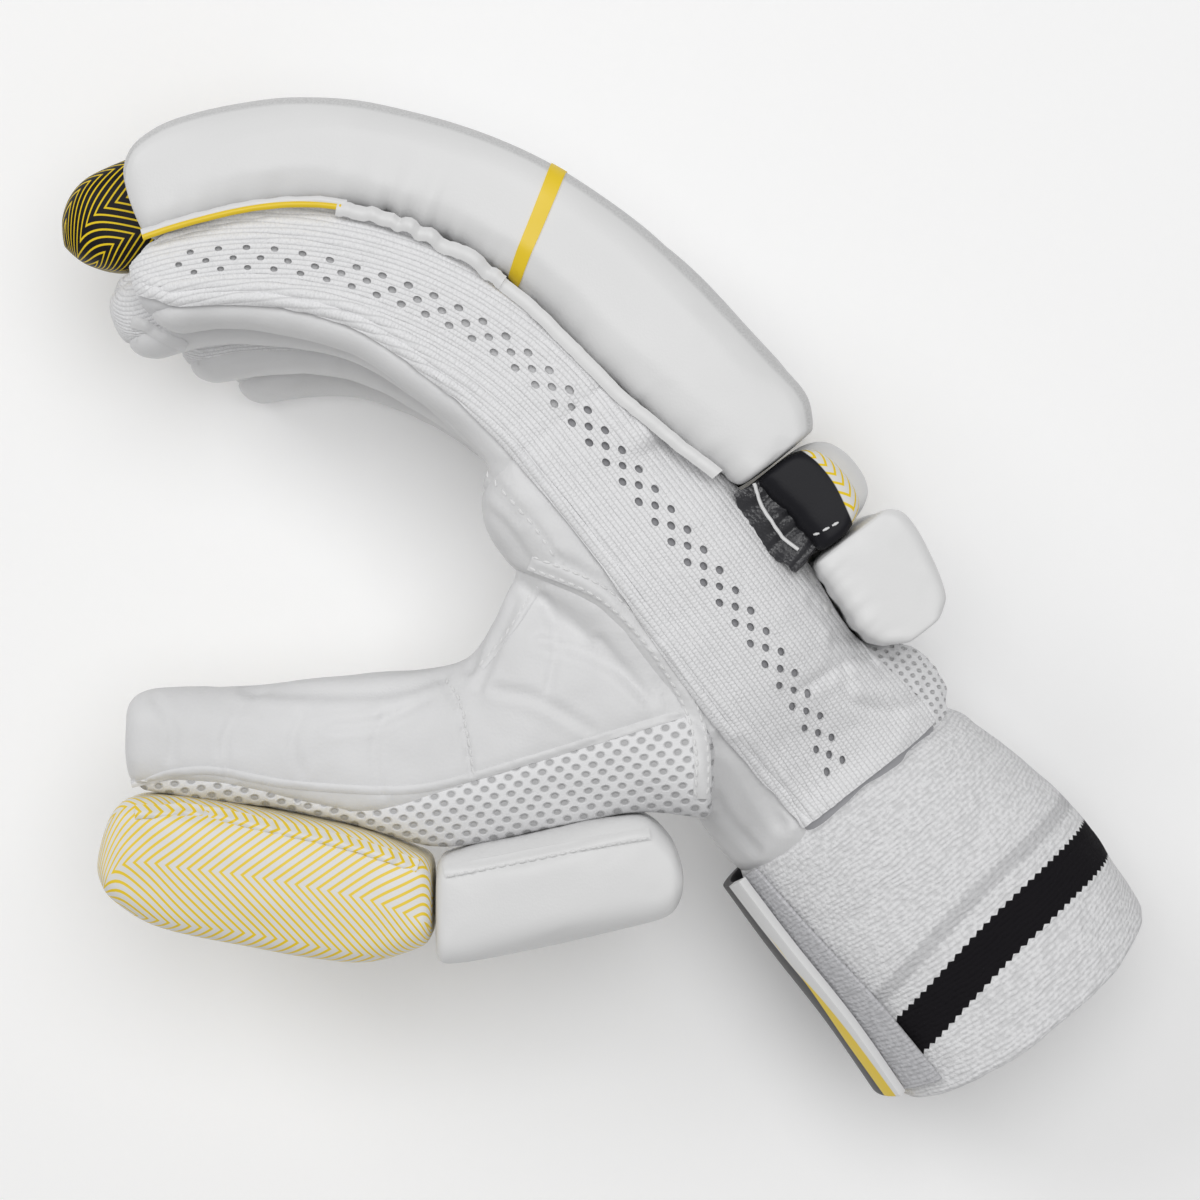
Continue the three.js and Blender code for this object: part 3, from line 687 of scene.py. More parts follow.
def looped_pile():
    """Short terry loops in courses along the second direction of the map."""
    tree, make, given, out = new_group(
        "looped_pile", {"Vector": VECTOR, "Loop": FLOAT}, {"Height": FLOAT, "Shade": FLOAT}
    )
    scale = make.over(1.0, given["Loop"])
    parts = make.split(given["Vector"])
    wander = make.times(make.noise(given["Vector"], 130.0, 2.0), 1.8)
    course = make.plus(make.times(parts["X"], scale), wander)
    rows = make.math("ABSOLUTE", make.math("SINE", make.times(course, math.pi)))
    cells = make.node("ShaderNodeTexVoronoi", {"Vector": given["Vector"], "Scale": scale}, feature="F1")
    fluff = make.noise(given["Vector"], make.times(scale, 2.4), 3.0, 0.75)
    loops = make.math("SUBTRACT", 1.0, cells.outputs["Distance"])
    pile = make.plus(loops, make.times(rows, 0.45))
    make.feed(out["Height"], make.plus(pile, make.times(fluff, 0.9)))
    make.feed(out["Shade"], make.ramp(make.plus(pile, fluff), 0.9, 1.6))
    return tree


def chevron_lines():
    """Thin parallel lines in chevrons, each row of them set off against the last."""
    tree, make, given, out = new_group(
        "chevron_lines",
        {"Vector": VECTOR, "Spacing": FLOAT, "Row": FLOAT, "Line": FLOAT},
        {"Line": FLOAT},
    )
    parts = make.split(given["Vector"])
    across = make.over(parts["Y"], given["Row"])
    fold = make.math("PINGPONG", across, 1.0)
    rise = make.times(make.times(fold, given["Row"]), 1.1)
    place = make.over(make.plus(parts["X"], rise), given["Spacing"])
    part = make.math("ABSOLUTE", make.math("SUBTRACT", make.math("FRACT", place), 0.5))
    half = make.times(given["Line"], 0.5)
    edge = {"From Min": make.times(half, 0.8), "From Max": make.times(half, 1.2)}
    inputs = {"Value": part, **edge, "To Min": 1.0, "To Max": 0.0}
    make.feed(out["Line"], make.node("ShaderNodeMapRange", inputs).outputs[0])
    return tree


def soft_wear():
    """Large soft patches, for slight soiling and uneven dye."""
    tree, make, given, out = new_group("soft_wear", {"Vector": VECTOR}, {"Patch": FLOAT})
    broad = make.noise(given["Vector"], 28.0, 3.0, 0.55)
    make.feed(out["Patch"], make.ramp(broad, 0.35, 0.7))
    return tree


GRAIN, RIB, NET, PILE, CHEVRON, WEAR = (
    leather_grain(), rib_knit(), round_holes(), looped_pile(), chevron_lines(), soft_wear()
)
YELLOW = (0.84, 0.60, 0.022, 1)
BLACK = (0.012, 0.011, 0.013, 1)


def new_material(name, roughness, **constants):
    material = bpy.data.materials.new(name)
    material.use_nodes = True
    make = Shader(material.node_tree)
    make.surface.inputs["Roughness"].default_value = roughness
    for key, value in constants.items():
        make.surface.inputs[key.replace("_", " ")].default_value = value
    return material, make, make.node("ShaderNodeTexCoord").outputs


def dimmed(colour, share):
    return tuple(c * share for c in colour[:3]) + (1,)


def patchy(make, places, colour, darker):
    """A colour that varies a little in soft patches."""
    patch = make.group(WEAR, vector=places["Object"])["Patch"]
    return make.mix(patch, dimmed(colour, darker), colour)


def grained(make, places, grain):
    return make.group(GRAIN, vector=places["Object"], grain=grain * MM)


def leather(name, colour, roughness, grain, depth, darker=0.93):
    material, make, places = new_material(name, roughness)
    look = grained(make, places, grain)
    make.colour(patchy(make, places, colour, darker))
    make.relief(look["Height"], 0.55, depth)
    uneven = make.ramp(look["Shade"], 0.3, 0.7, roughness - 0.06, roughness + 0.08)
    make.feed(make.surface.inputs["Roughness"], uneven)
    return material


def knit(name, colour, pitch, shade):
    material, make, places = new_material(name, 0.9, Sheen_Weight=0.25, Sheen_Roughness=0.5)
    look = make.group(RIB, vector=places["UV"], pitch=pitch * MM)
    between = dimmed(colour, shade)
    fluff = make.noise(places["Object"], 1700.0, 3.0, 0.75)
    ribs = make.mix(look["Shade"], between, colour)
    make.colour(make.mix(make.ramp(fluff, 0.45, 0.66, 0.0, 0.5), ribs, between))
    make.relief(make.plus(look["Height"], make.times(fluff, 1.6)), 0.8, 0.22)
    return material


def net(name, colour, pitch, hole, tilt):
    material, make, places = new_material(name, 0.85)
    turned = make.node("ShaderNodeMapping", {"Vector": places["Object"], "Rotation": (0, 0, tilt)})
    look = make.group(NET, vector=turned.outputs[0], pitch=pitch * MM, hole=hole * MM)
    fine = make.noise(places["Object"], 1500.0, 3.0, 0.7)
    # The holes are painted a darker tone of the cloth: painted shade for the dim inside seen through them.
    make.colour(make.mix(look["Hole"], colour, dimmed(colour, 0.62)))
    make.relief(make.plus(look["Height"], make.times(fine, 0.35)), 0.85, 0.6)
    return material


def lined(name, ground, spacing, row, width, dark_side=False):
    """Leather printed with chevrons of thin yellow lines, with one side black if asked."""
    gloss = 0.12 if dark_side or ground == BLACK else 0.5
    material, make, places = new_material(name, 0.42, Specular_IOR_Level=gloss)
    look = make.group(CHEVRON, vector=places["UV"], spacing=spacing * MM, row=row * MM, line=width)
    shade = make.mix(look["Line"], patchy(make, places, ground, 0.94), YELLOW)
    if dark_side:
        shade = make.mix(make.ramp(make.attribute("dark"), -0.2, 0.2), shade, (0.014, 0.014, 0.017, 1))
    make.colour(shade)
    make.relief(grained(make, places, 0.7)["Height"], 0.4, 0.07)
    return material


def terry(name, colour, banded=False):
    material, make, places = new_material(name, 0.95, Specular_IOR_Level=0.1)
    look = make.group(PILE, vector=places["UV"], loop=1.15 * MM)
    shade = make.mix(look["Shade"], dimmed(colour, 0.84), colour)
    if banded:
        teeth = make.math("PINGPONG", make.over(make.split(places["UV"])["Y"], 1.1 * MM), 1.0)
        ragged = make.times(make.math("SUBTRACT", teeth, 0.5), 0.9)
        soft = make.ramp(make.plus(make.attribute("faint"), ragged), -0.6, 0.6, 0.0, 0.45)
        shade = make.mix(soft, shade, (0.42, 0.42, 0.43, 1))
        shade = make.mix(make.ramp(make.plus(make.attribute("stripe"), ragged), -0.1, 0.1), shade, BLACK)
    make.colour(shade)
    make.relief(look["Height"], 0.8, 0.4)
    return material


def printed(name, colour):
    """White coated cloth with a plain print: a black field and a yellow wedge."""
    material, make, places = new_material(name, 0.45)
    shade = make.mix(make.ramp(make.attribute("field"), -0.2, 0.2), colour, BLACK)
    make.colour(make.mix(make.ramp(make.attribute("wedge"), -0.2, 0.2), shade, YELLOW))
    make.relief(grained(make, places, 0.6)["Height"], 0.4, 0.05)
    return material


def painted_shade_roll_cover(name, colour, edge):
    """White cover with painted shade on its back face: a greyer strip past a soft edge, where the bump also
    steps down as a seam would.
    """
    material, make, places = new_material(name, 0.42)
    side = patchy(make, places, colour, 0.97)
    round_way = make.math("ABSOLUTE", make.split(places["UV"])["Y"])
    # Share of painted shade: 1 on the back face past the soft edge, 0 on the side.
    back = make.ramp(round_way, (edge - 0.7) * MM, (edge + 0.7) * MM, 1.0, 0.0)
    speck = make.ramp(make.noise(places["Object"], 2200.0, 2.0), 0.3, 0.7, 0.54, 0.64)
    # Flecked grey for the back face: painted shade where it turns from the light.
    grey = make.node("ShaderNodeCombineColor", {0: speck, 1: speck, 2: speck}).outputs[0]
    make.colour(make.mix(back, side, grey))
    make.relief(make.plus(grained(make, places, 0.6)["Height"], make.times(back, -1.5)), 0.5, 0.06)
    return material


WHITE_COVER = leather("white_cover", (0.75, 0.75, 0.75, 1), 0.42, grain=0.6, depth=0.05, darker=0.97)
# The roll's greyer back is painted shade, not a panel of another cloth.
WHITE_ROLL = painted_shade_roll_cover("white_roll_cover", (0.75, 0.75, 0.75, 1), edge=12.6)
WHITE_LEATHER = leather("white_leather", (0.75, 0.75, 0.755, 1), 0.5, grain=0.8, depth=0.1)
YELLOW_COVER = leather("yellow_cover", YELLOW, 0.4, grain=0.6, depth=0.04, darker=0.96)
WHITE_KNIT = knit("white_knit", (0.88, 0.88, 0.89, 1), pitch=1.25, shade=0.84)
# Mid-grey lining under the gusset's holes: its grey is painted shade for the dim inside of the glove.
PAINTED_SHADE_LINING = leather("painted_shade_lining", (0.42, 0.42, 0.44, 1), 0.9, grain=0.7, depth=0.1)
PALE_LINING = leather("pale_lining", (0.72, 0.72, 0.73, 1), 0.9, grain=0.7, depth=0.1)
WHITE_NET = net("white_net", (0.82, 0.82, 0.83, 1), pitch=4.3, hole=2.0, tilt=-0.15)
HUMP_NET = net("white_back_net", (0.88, 0.88, 0.89, 1), pitch=3.2, hole=1.2, tilt=0.2)
WHITE_TERRY = terry("white_terry", (0.86, 0.86, 0.87, 1), banded=True)
LOOP_CLOTH = terry("grey_loop_cloth", (0.62, 0.62, 0.64, 1))
PRINTED_CLOTH = printed("printed_cloth", (0.76, 0.76, 0.76, 1))
CREAM = (0.78, 0.77, 0.74, 1)
CREAM_LINED = lined("cream_lined", CREAM, spacing=2.7, row=15.0, width=0.35)
KNUCKLE_LINED = lined("knuckle_lined", CREAM, spacing=3.2, row=12.0, width=0.3, dark_side=True)
BLACK_LINED = lined("black_lined", BLACK, spacing=2.4, row=10.0, width=0.26)
BLACK_ELASTIC = leather("black_elastic", (0.03, 0.03, 0.034, 1), 0.3, grain=0.8, depth=0.3)
THREAD = leather("white_thread", (0.80, 0.80, 0.80, 1), 0.7, grain=0.4, depth=0.05)


# The skin of the hand, fingers and thumb, first as one body.
def hand_section(along):
    at = along / HAND_LENGTH
    return {
        "palm": HAND_HALF_DEPTH * column(HAND, "palm", at),
        "back": HAND_HALF_DEPTH * column(HAND, "back", at),
        "low": FLOOR_CLEARANCE + BREADTH * column(HAND, "low", at),
        "high": FLOOR_CLEARANCE + BREADTH * column(HAND, "high", at),
        "corner": HAND_HALF_DEPTH * column(HAND, "corner", at),
    }


def stall_section(finger):
    def section(along):
        drop = drop_at(finger, along)
        return {
            "palm": seam_at("leather", along) - FINGER_BELLY - drop,
            "back": seam_at("back", along) - drop,
            "low": finger["centre"] - FINGER_WIDTH / 2,
            "high": finger["centre"] + FINGER_WIDTH / 2,
            "corner": FINGER_CORNER,
        }

    return section


def thumb_section(along):
    at = along / THUMB_LENGTH
    centre = THUMB_Z + THUMB_RISE * at
    half = THUMB_WIDTH / 2 * column(THUMB, "wide", at)
    return {
        "palm": THUMB_HALF_DEPTH * column(THUMB, "back", at),
        "back": THUMB_HALF_DEPTH * column(THUMB, "palm", at),
        "low": centre - half,
        "high": centre + half,
        "oval": THUMB_OVAL,
    }


WRIST_END, THUMB_STALL_START, RING_STEP = -8.5, -3, 3
rings = profile(WRIST_END, WEBBING, RING_STEP, first_nose=0.5, last_nose=1)
parts = [tube("hand", rings, 120, hand_section, in_hand)]
for finger in FINGERS:
    rings = profile(FINGER_ROOT, finger["tip"], RING_STEP, first_nose=3, last_nose=FINGERTIP_DOME)
    parts.append(tube(f"{finger['name']}_stall", rings, 44, stall_section(finger), in_hand))
rings = profile(THUMB_STALL_START, THUMB_LENGTH, RING_STEP, first_nose=1, last_nose=4.5)
parts.append(tube("thumb_stall", rings, 56, thumb_section, in_thumb))
skin = joined("skin", parts)
modify(skin, "REMESH", mode="VOXEL", voxel_size=SKIN_VOXEL * MM, use_smooth_shade=True)
modify(skin, "SMOOTH", factor=0.5, iterations=5)

HAND_LEATHER, BACK_CLOTH, INDEX_LINING, LITTLE_KNIT, THUMB_LEATHER, THUMB_NET = range(6)
FIRST_FINGER = 6
BACK_INSET, STAND_OUT = 2.5, 0.8
THUMB_ROOT_FROM, THUMB_ROOT_TO, THUMB_ROOT_LOWEST = 5, 93, 55
THUMB_FROM, THUMB_LOWEST, THUMB_LAST_Y = 3, 40, 2


def outside_hand(points, along, out):
    """How far points stand outside the rounded section of the hand."""
    sizes = hand_section(np.clip(along, WRIST_END, WEBBING))
    half_out = (sizes["back"] - sizes["palm"]) / 2
    half_up = (sizes["high"] - sizes["low"]) / 2
    corner = np.minimum(sizes["corner"], np.minimum(half_out, half_up))
    far_out = np.abs(out - (sizes["back"] + sizes["palm"]) / 2) - (half_out - corner)
    far_up = np.abs(points[:, 2] - (sizes["high"] + sizes["low"]) / 2) - (half_up - corner)
    beyond = np.hypot(np.maximum(far_out, 0), np.maximum(far_up, 0))
    return beyond + np.minimum(np.maximum(far_out, far_up), 0) - corner


def finger_number(z):
    return np.clip(np.floor((z - FLOOR_CLEARANCE + FINGER_SPACE / 2) / PITCH), 0, 3).astype(int)


def sorted_faces(points):
    """The number of the piece that each face belongs to."""
    along, out = hand_place(points)
    which = finger_number(points[:, 2])
    drops = np.stack([drop_at(finger, along) for finger in FINGERS])
    level = out + drops[which, np.arange(len(points))]
    leather_side = level < seam_at("leather", along)
    back_side = level > seam_at("back", along) - BACK_INSET
    upper = points[:, 2] > FLOOR_CLEARANCE + BREADTH / 2
    hand = np.where(leather_side, HAND_LEATHER, np.where(upper, INDEX_LINING, LITTLE_KNIT))
    hand = np.where(back_side, BACK_CLOTH, hand)
    on_finger = along > WEBBING - 2
    kind = np.where(leather_side, 0, np.where(back_side, 2, 1))
    made = np.where(on_finger, FIRST_FINGER + which * 3 + kind, hand)
    root_side = (along > THUMB_ROOT_FROM) & (along < THUMB_ROOT_TO) & (points[:, 2] > THUMB_ROOT_LOWEST)
    root_side &= out < column(THUMB_ROOT, "out", along)
    beyond_hand = (outside_hand(points, along, out) > STAND_OUT) | (along > WEBBING)
    thumb = (points[:, 1] < THUMB_LAST_Y) & (points[:, 2] > THUMB_LOWEST) & (along > THUMB_FROM)
    thumb = (thumb & beyond_hand) | root_side
    seam = THUMB_HALF_DEPTH * column(THUMB_SEAM, "seam", (THUMB_X - points[:, 0]) / THUMB_LENGTH)
    netted = points[:, 1] - THUMB_Y < seam
    return np.where(thumb, np.where(netted, THUMB_NET, THUMB_LEATHER), made)


def smoothed_borders(obj, kinds):
    """Draws the staggered borders between pieces into smooth, slightly sunk seams."""
    corner_face = np.repeat(np.arange(len(obj.data.polygons)), [len(p.vertices) for p in obj.data.polygons])
    corner_edge = np.empty(len(obj.data.loops), int)
    obj.data.loops.foreach_get("edge_index", corner_edge)
    order = np.argsort(corner_edge, kind="stable")
    edge, face = corner_edge[order], corner_face[order]
    same = edge[1:] == edge[:-1]
    borders = edge[1:][same & (kinds[face[1:]] != kinds[face[:-1]])]
    pairs = edges_of(obj)[borders]
    points = points_of(obj)
    members = np.unique(pairs)
    for _ in range(8):
        total = np.zeros_like(points)
        count = np.zeros(len(points))
        for a, b in ((0, 1), (1, 0)):
            np.add.at(total, pairs[:, a], points[pairs[:, b]])
            np.add.at(count, pairs[:, a], 1)
        mean = total[members] / count[members][:, None]
        points[members] = points[members] * 0.5 + mean * 0.5
    depth = np.zeros(len(points))
    depth[members] = 1.0
    spread = depth.copy()
    links = edges_of(obj)
    for _ in range(2):
        near = np.zeros(len(points))
        np.maximum.at(near, links[:, 0], spread[links[:, 1]] * 0.45)
        np.maximum.at(near, links[:, 1], spread[links[:, 0]] * 0.45)
        spread = np.maximum(spread, near)
    set_points(obj, points - normals_of(obj) * (spread * 0.75)[:, None])


# Creases and sewn lines, as pixels of the photograph: depth and half width in millimetres.
CREASES = [
    (0.9, 1.6, [(505, 572), (488, 610), (474, 640), (468, 668)]),
    (0.6, 1.3, [(514, 600), (500, 632), (488, 662), (476, 690)]),
    (0.5, 1.2, [(545, 598), (556, 640), (548, 690)]),
    (0.6, 1.4, [(540, 640), (600, 660), (650, 700)]),
    (0.5, 1.2, [(600, 640), (640, 690), (655, 715)]),
    (0.7, 1.5, [(440, 676), (400, 690), (330, 694), (240, 690)]),
    (0.5, 1.2, [(425, 700), (380, 722), (330, 728)]),
    (0.5, 1.2, [(255, 690), (235, 712), (222, 742), (226, 776)]),
    (0.45, 1.1, [(300, 715), (290, 745), (300, 775)]),
    (0.45, 1.1, [(385, 712), (372, 750), (380, 795)]),
    (0.6, 1.3, [(495, 690), (540, 700), (590, 730)]),
    (0.5, 1.2, [(150, 700), (170, 730), (168, 760)]),
    (0.8, 1.6, [(722, 740), (750, 770), (785, 830)]),
    (0.7, 1.4, [(740, 742), (775, 780), (806, 822)]),
    (0.6, 1.4, [(716, 800), (735, 830), (760, 858)]),
    (0.5, 1.2, [(452, 440), (480, 470), (520, 520)]),
    (0.6, 1.5, [(560, 560), (610, 590), (655, 640)]),
    (0.5, 1.2, [(470, 500), (500, 520), (530, 560)]),
    (0.9, 1.5, [(800, 690), (850, 662), (900, 655), (940, 668)]),
    (0.9, 1.5, [(850, 700), (890, 712), (930, 706)]),
    (0.7, 1.3, [(835, 640), (870, 640), (905, 648)]),
    (0.7, 1.3, [(812, 600), (838, 640), (850, 690)]),
]
SEWN = [
    (0.7, 0.8, [(440, 680), (456, 705), (464, 740), (470, 775)]),
    (0.5, 0.7, [(470, 450), (500, 485), (535, 525), (560, 560)]),
]


def pressed_in(obj, lines):
    """Presses creases into the upper side of a piece."""
    points, normals = points_of(obj), normals_of(obj)
    facing = np.clip(normals[:, 2] * 2, 0, 1)
    amount = np.zeros(len(points))
    for depth, width, pixels in lines:
        gap = distance_to(curved(pixels), points[:, :2])
        near = gap < width * 4
        amount[near] -= depth * np.exp(-((gap[near] / width) ** 2))
        amount[near] += depth * 0.45 * np.exp(-(((gap[near] - width * 1.9) / width) ** 2))
    set_points(obj, points + normals * (amount * facing)[:, None])


pressed_in(skin, CREASES + SEWN)
skin_points = points_of(skin)
skin_along, skin_out = hand_place(skin_points)
gather = smoothstep(34, 6, skin_along) * smoothstep(10, 26, skin_out)
swell = waves(skin_points, 26, 1) * 0.7 + waves(skin_points, 9, 2) * (0.25 + 1.3 * gather)
set_points(skin, skin_points + normals_of(skin) * swell[:, None])
skin_kinds = sorted_faces(face_centres(skin))
smoothed_borders(skin, skin_kinds)
kind_layer = skin.data.attributes.new("kind", "INT", "FACE")
kind_layer.data.foreach_set("value", skin_kinds.astype(np.int32))


# The upper surface, for what is laid on it.
def tree_of(obj):
    return BVHTree.FromPolygons(
        [Vector(p) for p in points_of(obj)], [tuple(p.vertices) for p in obj.data.polygons]
    )


skin_tree = tree_of(skin)
ABOVE_ALL = 200


def height_at(spots, fallback, tree=None):
    """Level of the upper surface at spots in plan, and its normal."""
    found, normals = np.full(len(spots), float(fallback)), np.tile([0.0, 0.0, 1.0], (len(spots), 1))
    for i, (x, y) in enumerate(spots):
        place, normal, _, _ = (tree or skin_tree).ray_cast(Vector((x, y, ABOVE_ALL)), Vector((0, 0, -1)))
        if place is not None:
            found[i] = place.z
            normals[i] = normal if normal.z > 0 else -normal
    return found, normals


def parted(obj, chosen, name):
    """Separates faces into a piece of their own."""
    before = set(bpy.data.objects)
    select_faces(obj, chosen)
    bpy.ops.mesh.separate(type="SELECTED")
    end_edit()
    made = (set(bpy.data.objects) - before).pop()
    made.name = made.data.name = name
    return made


def skin_piece(kind, name, material, nodes, wall=LEATHER_WALL):
    kinds = np.empty(len(skin.data.polygons), np.int32)
    skin.data.attributes["kind"].data.foreach_get("value", kinds)
    piece = parted(skin, kinds == kind, name)
    along, out = hand_place(points_of(piece))
    set_map(piece, along, out + points_of(piece)[:, 2])
    modify(piece, "SOLIDIFY", thickness=wall * MM, offset=-1, use_quality_normals=True)
    return finished(piece, material, nodes, angle=60)


select_faces(skin, hand_place(face_centres(skin))[0] < WRIST_END + 0.6)
bpy.ops.mesh.delete(type="FACE")
end_edit()

skin_piece(HAND_LEATHER, "palm_cover", WHITE_LEATHER, ["palm_leather"])
skin_piece(BACK_CLOTH, "back_net", HUMP_NET, ["back_panel"])
# The lining's grey, seen through the gusset's holes, is painted shade.
skin_piece(INDEX_LINING, "gusset_lining", PAINTED_SHADE_LINING, [], 0.8)
skin_piece(LITTLE_KNIT, "little_side_knit", WHITE_KNIT, ["little_side_gusset"])
skin_piece(THUMB_LEATHER, "thumb_cover", WHITE_LEATHER, ["thumb_leather"])
skin_piece(THUMB_NET, "thumb_net", WHITE_NET, ["thumb_mesh"])
for number, finger in enumerate(FINGERS):
    name, first = finger["name"], FIRST_FINGER + number * 3
    skin_piece(first, f"{name}_stall_cover", WHITE_LEATHER, [f"{name}_leather"])
    lining = finger is INDEX
    skin_piece(
        first + 1,
        f"{name}_stall_lining" if lining else f"{name}_stall_knit",
        PALE_LINING if lining else WHITE_KNIT,
        [] if lining else [f"{name}_gusset"],
        0.8 if lining else LEATHER_WALL,
    )
    skin_piece(first + 2, f"{name}_stall_back", WHITE_KNIT, [f"{name}_back"])
bpy.data.objects.remove(skin)


# The knitted gusset over the index side, with its rows of holes.
HOLE_PITCH, HOLE_ROW = 6.35, 2.5
ROWS_BELOW, HOLE_ROWS, ROWS_ABOVE = 7, 3, 5
GUSSET_START, GUSSET_END = -4.5, 229.0
HOLES_FROM, HOLES_TO = 1, 220
HOLE_INSET, WIDE_HOLE, HOLE_LOSS = 0.25, 0.92, 0.25
EDGE_RIDGES = [(1.5, 0.8), (4.6, 0.7)]
GUSSET_LIFT, RIB_HEIGHT = 0.95, 0.16


def gusset_edges(along):
    """The gusset's two edges, rounded together at the fingertip."""
    close = np.sqrt(np.clip((GUSSET_END - along) / 9, 0, 1))
    middle = (seam_at("leather", along) + seam_at("back", along)) / 2
    lower = middle + (seam_at("leather", along) - middle) * close
    upper = middle + (seam_at("back", along) - 1.0 - middle) * close
    return lower, upper


def gusset_out(along, row):
    lower, upper = gusset_edges(along)
    centre = column(HOLE_LINE, "out", along)
    first = centre - HOLE_ROW * HOLE_ROWS / 2
    last = centre + HOLE_ROW * HOLE_ROWS / 2
    lower = np.minimum(lower, first - 0.5)
    upper = np.maximum(upper, last + 0.5)
    below = lower + (first - lower) * row / ROWS_BELOW
    within = first + (row - ROWS_BELOW) * HOLE_ROW
    above = last + (upper - last) * (row - ROWS_BELOW - HOLE_ROWS) / ROWS_ABOVE
    return np.where(row <= ROWS_BELOW, below, np.where(row <= ROWS_BELOW + HOLE_ROWS, within, above))


def index_gusset():
    columns = int((GUSSET_END - GUSSET_START) / (HOLE_PITCH / 2))
    rows = ROWS_BELOW + HOLE_ROWS + ROWS_ABOVE
    obj, at, row = grid("index_knit", columns, rows)
    along = GUSSET_START + at * (GUSSET_END - GUSSET_START) / columns
    set_points(obj, np.stack([along, gusset_out(along, row), 0 * along], axis=-1))
    centres = face_centres(obj)
    face_row = np.empty(len(centres), int)
    face_at = np.empty(len(centres), int)
    for i, face in enumerate(obj.data.polygons):
        corners = list(face.vertices)
        face_row[i], face_at[i] = row[corners].min(), at[corners].min()
    step = face_row - ROWS_BELOW
    holes = (step >= 0) & (step < HOLE_ROWS) & ((face_at + step) % 2 == 0)
    holes &= (centres[:, 0] > HOLES_FROM) & (centres[:, 0] < HOLES_TO)
    select_faces(obj, holes)
    bpy.ops.mesh.inset(thickness=HOLE_INSET * MM, use_individual=True)
    end_edit()
    chosen = np.empty(len(obj.data.polygons), bool)
    obj.data.polygons.foreach_get("select", chosen)
    points = points_of(obj)
    for face in np.flatnonzero(chosen):
        corners = list(obj.data.polygons[face].vertices)
        centre = points[corners].mean(axis=0)
        size = WIDE_HOLE - HOLE_LOSS * smoothstep(150, 215, centre[0])
        points[corners] = centre + (points[corners] - centre) * size
    set_points(obj, points)
    select_faces(obj, chosen)
    bpy.ops.mesh.delete(type="FACE")
    end_edit()
    subdivide(obj, 2)
    flat = points_of(obj)
    along, out = flat[:, 0], flat[:, 1]
    set_map(obj, along, out)
    spots = in_hand(along, out, 0)
    level, _ = height_at(spots[:, :2], 93)
    from_edge = out - gusset_edges(along)[0]
    ridge = sum(high * np.exp(-((from_edge - place) ** 2)) for place, high in EDGE_RIDGES)
    from_holes = out - column(HOLE_LINE, "out", along)
    ribs = RIB_HEIGHT * np.cos(from_holes * 2 * math.pi / HOLE_ROW)
    ribs = ribs * (np.abs(from_holes) > HOLE_ROW * HOLE_ROWS / 2)
    spots[:, 2] = level + GUSSET_LIFT + ridge + ribs
    spots[:, 2] += waves(spots, 14, 5) * 0.35 + waves(spots, 4, 6) * 0.12
    set_points(obj, spots)
    modify(obj, "SOLIDIFY", thickness=KNIT_WALL * MM, offset=-1)
    return finished(obj, WHITE_KNIT, ["index_side_gusset", "index_gusset"])


index_gusset()


# Foam rolls over the fingers.
def roll_section(finger, grow=0.0):
    overhang = INDEX_OVERHANG if finger is INDEX else 0

    def section(along):
        share = (along - ROLL_START - finger["stretch"] / 2) / (ROLL_END - ROLL_START)
        seat = seat_at(finger, along)
        swollen = 1 + finger["swell"] * (1 - smoothstep(0.2, 0.5, share))
        return {
            "palm": seat - grow,
            "back": seat + ROLL_DEPTH * swollen * column(ROLL, "top", share) + grow,
            "low": finger["centre"] - ROLL_WIDTH / 2 - grow,
            "high": finger["centre"] + ROLL_WIDTH / 2 + overhang + grow,
            "corner": PAD_CORNER,
        }

    return section


SEWN_PULL, SEWN_REACH, GATHER_REACH = 0.64, 5.0, 12.0


def puckered(obj, seat_gap, run, gathered=0.0):
    """Short pulls in a cover where it is sewn down, longer ones where it is gathered."""
    points = points_of(obj)
    places = np.stack([run, seat_gap * 0.12, points[:, 2] * 0.1], axis=-1)
    pull = np.exp(-((seat_gap / SEWN_REACH) ** 2)) * SEWN_PULL
    pull = pull + np.exp(-((seat_gap / GATHER_REACH) ** 2)) * gathered
    ripple = waves(places, 4.0, 11)
    broad = waves(points, 30, 12) * 0.35
    set_points(obj, points + normals_of(obj) * (ripple * pull + broad)[:, None])


def cap_start(finger):
    return ROLL_END + finger["stretch"] - CAP_LENGTH


def finger_roll(finger):
    end = cap_start(finger) - PAD_GAP if finger["capped"] else ROLL_END + finger["stretch"]
    rings = profile(ROLL_START, end, step=2.2, first_nose=1.4, last_nose=4.0)
    obj = tube(f"{finger['name']}_foam_roll", rings, 56, roll_section(finger), in_hand, centred=True)
    inflate(obj, most=0.9)
    subdivide(obj)
    points = points_of(obj)
    along, out = hand_place(points)
    seat_gap = np.abs(out - seat_at(finger, along)) + np.maximum(0, finger["centre"] - points[:, 2]) * 0.2
    gathered = 0.9 * smoothstep(141, 152, along) * smoothstep(192, 178, along)
    puckered(obj, seat_gap, along, gathered=gathered)
    return finished(obj, WHITE_ROLL, [f"{finger['name']}_roll"])


def tip_cap(finger):
    nose_start = finger["tip"] + CAP_OVERHANG - CAP_NOSE

    def section(along):
        into = (along - nose_start) / CAP_NOSE
        seat = seat_at(finger, along)
        half = ROLL_WIDTH / 2 * column(CAP, "wide", into, "into")
        return {
            "palm": seat + CAP_DEPTH * column(CAP, "under", into, "into"),
            "back": seat + CAP_DEPTH * column(CAP, "top", into, "into"),
            "low": finger["centre"] - half,
            "high": finger["centre"] + half,
            "corner": CAP_CORNER,
        }

    rings = profile(cap_start(finger), nose_start + CAP_NOSE, step=1.6, first_nose=1.5, last_nose=2.5)
    obj = tube(f"{finger['name']}_black_cap", rings, 48, section, in_hand)
    inflate(obj, most=0.8)
    subdivide(obj)
    return finished(obj, BLACK_LINED, [f"{finger['name']}_tip_cap"])


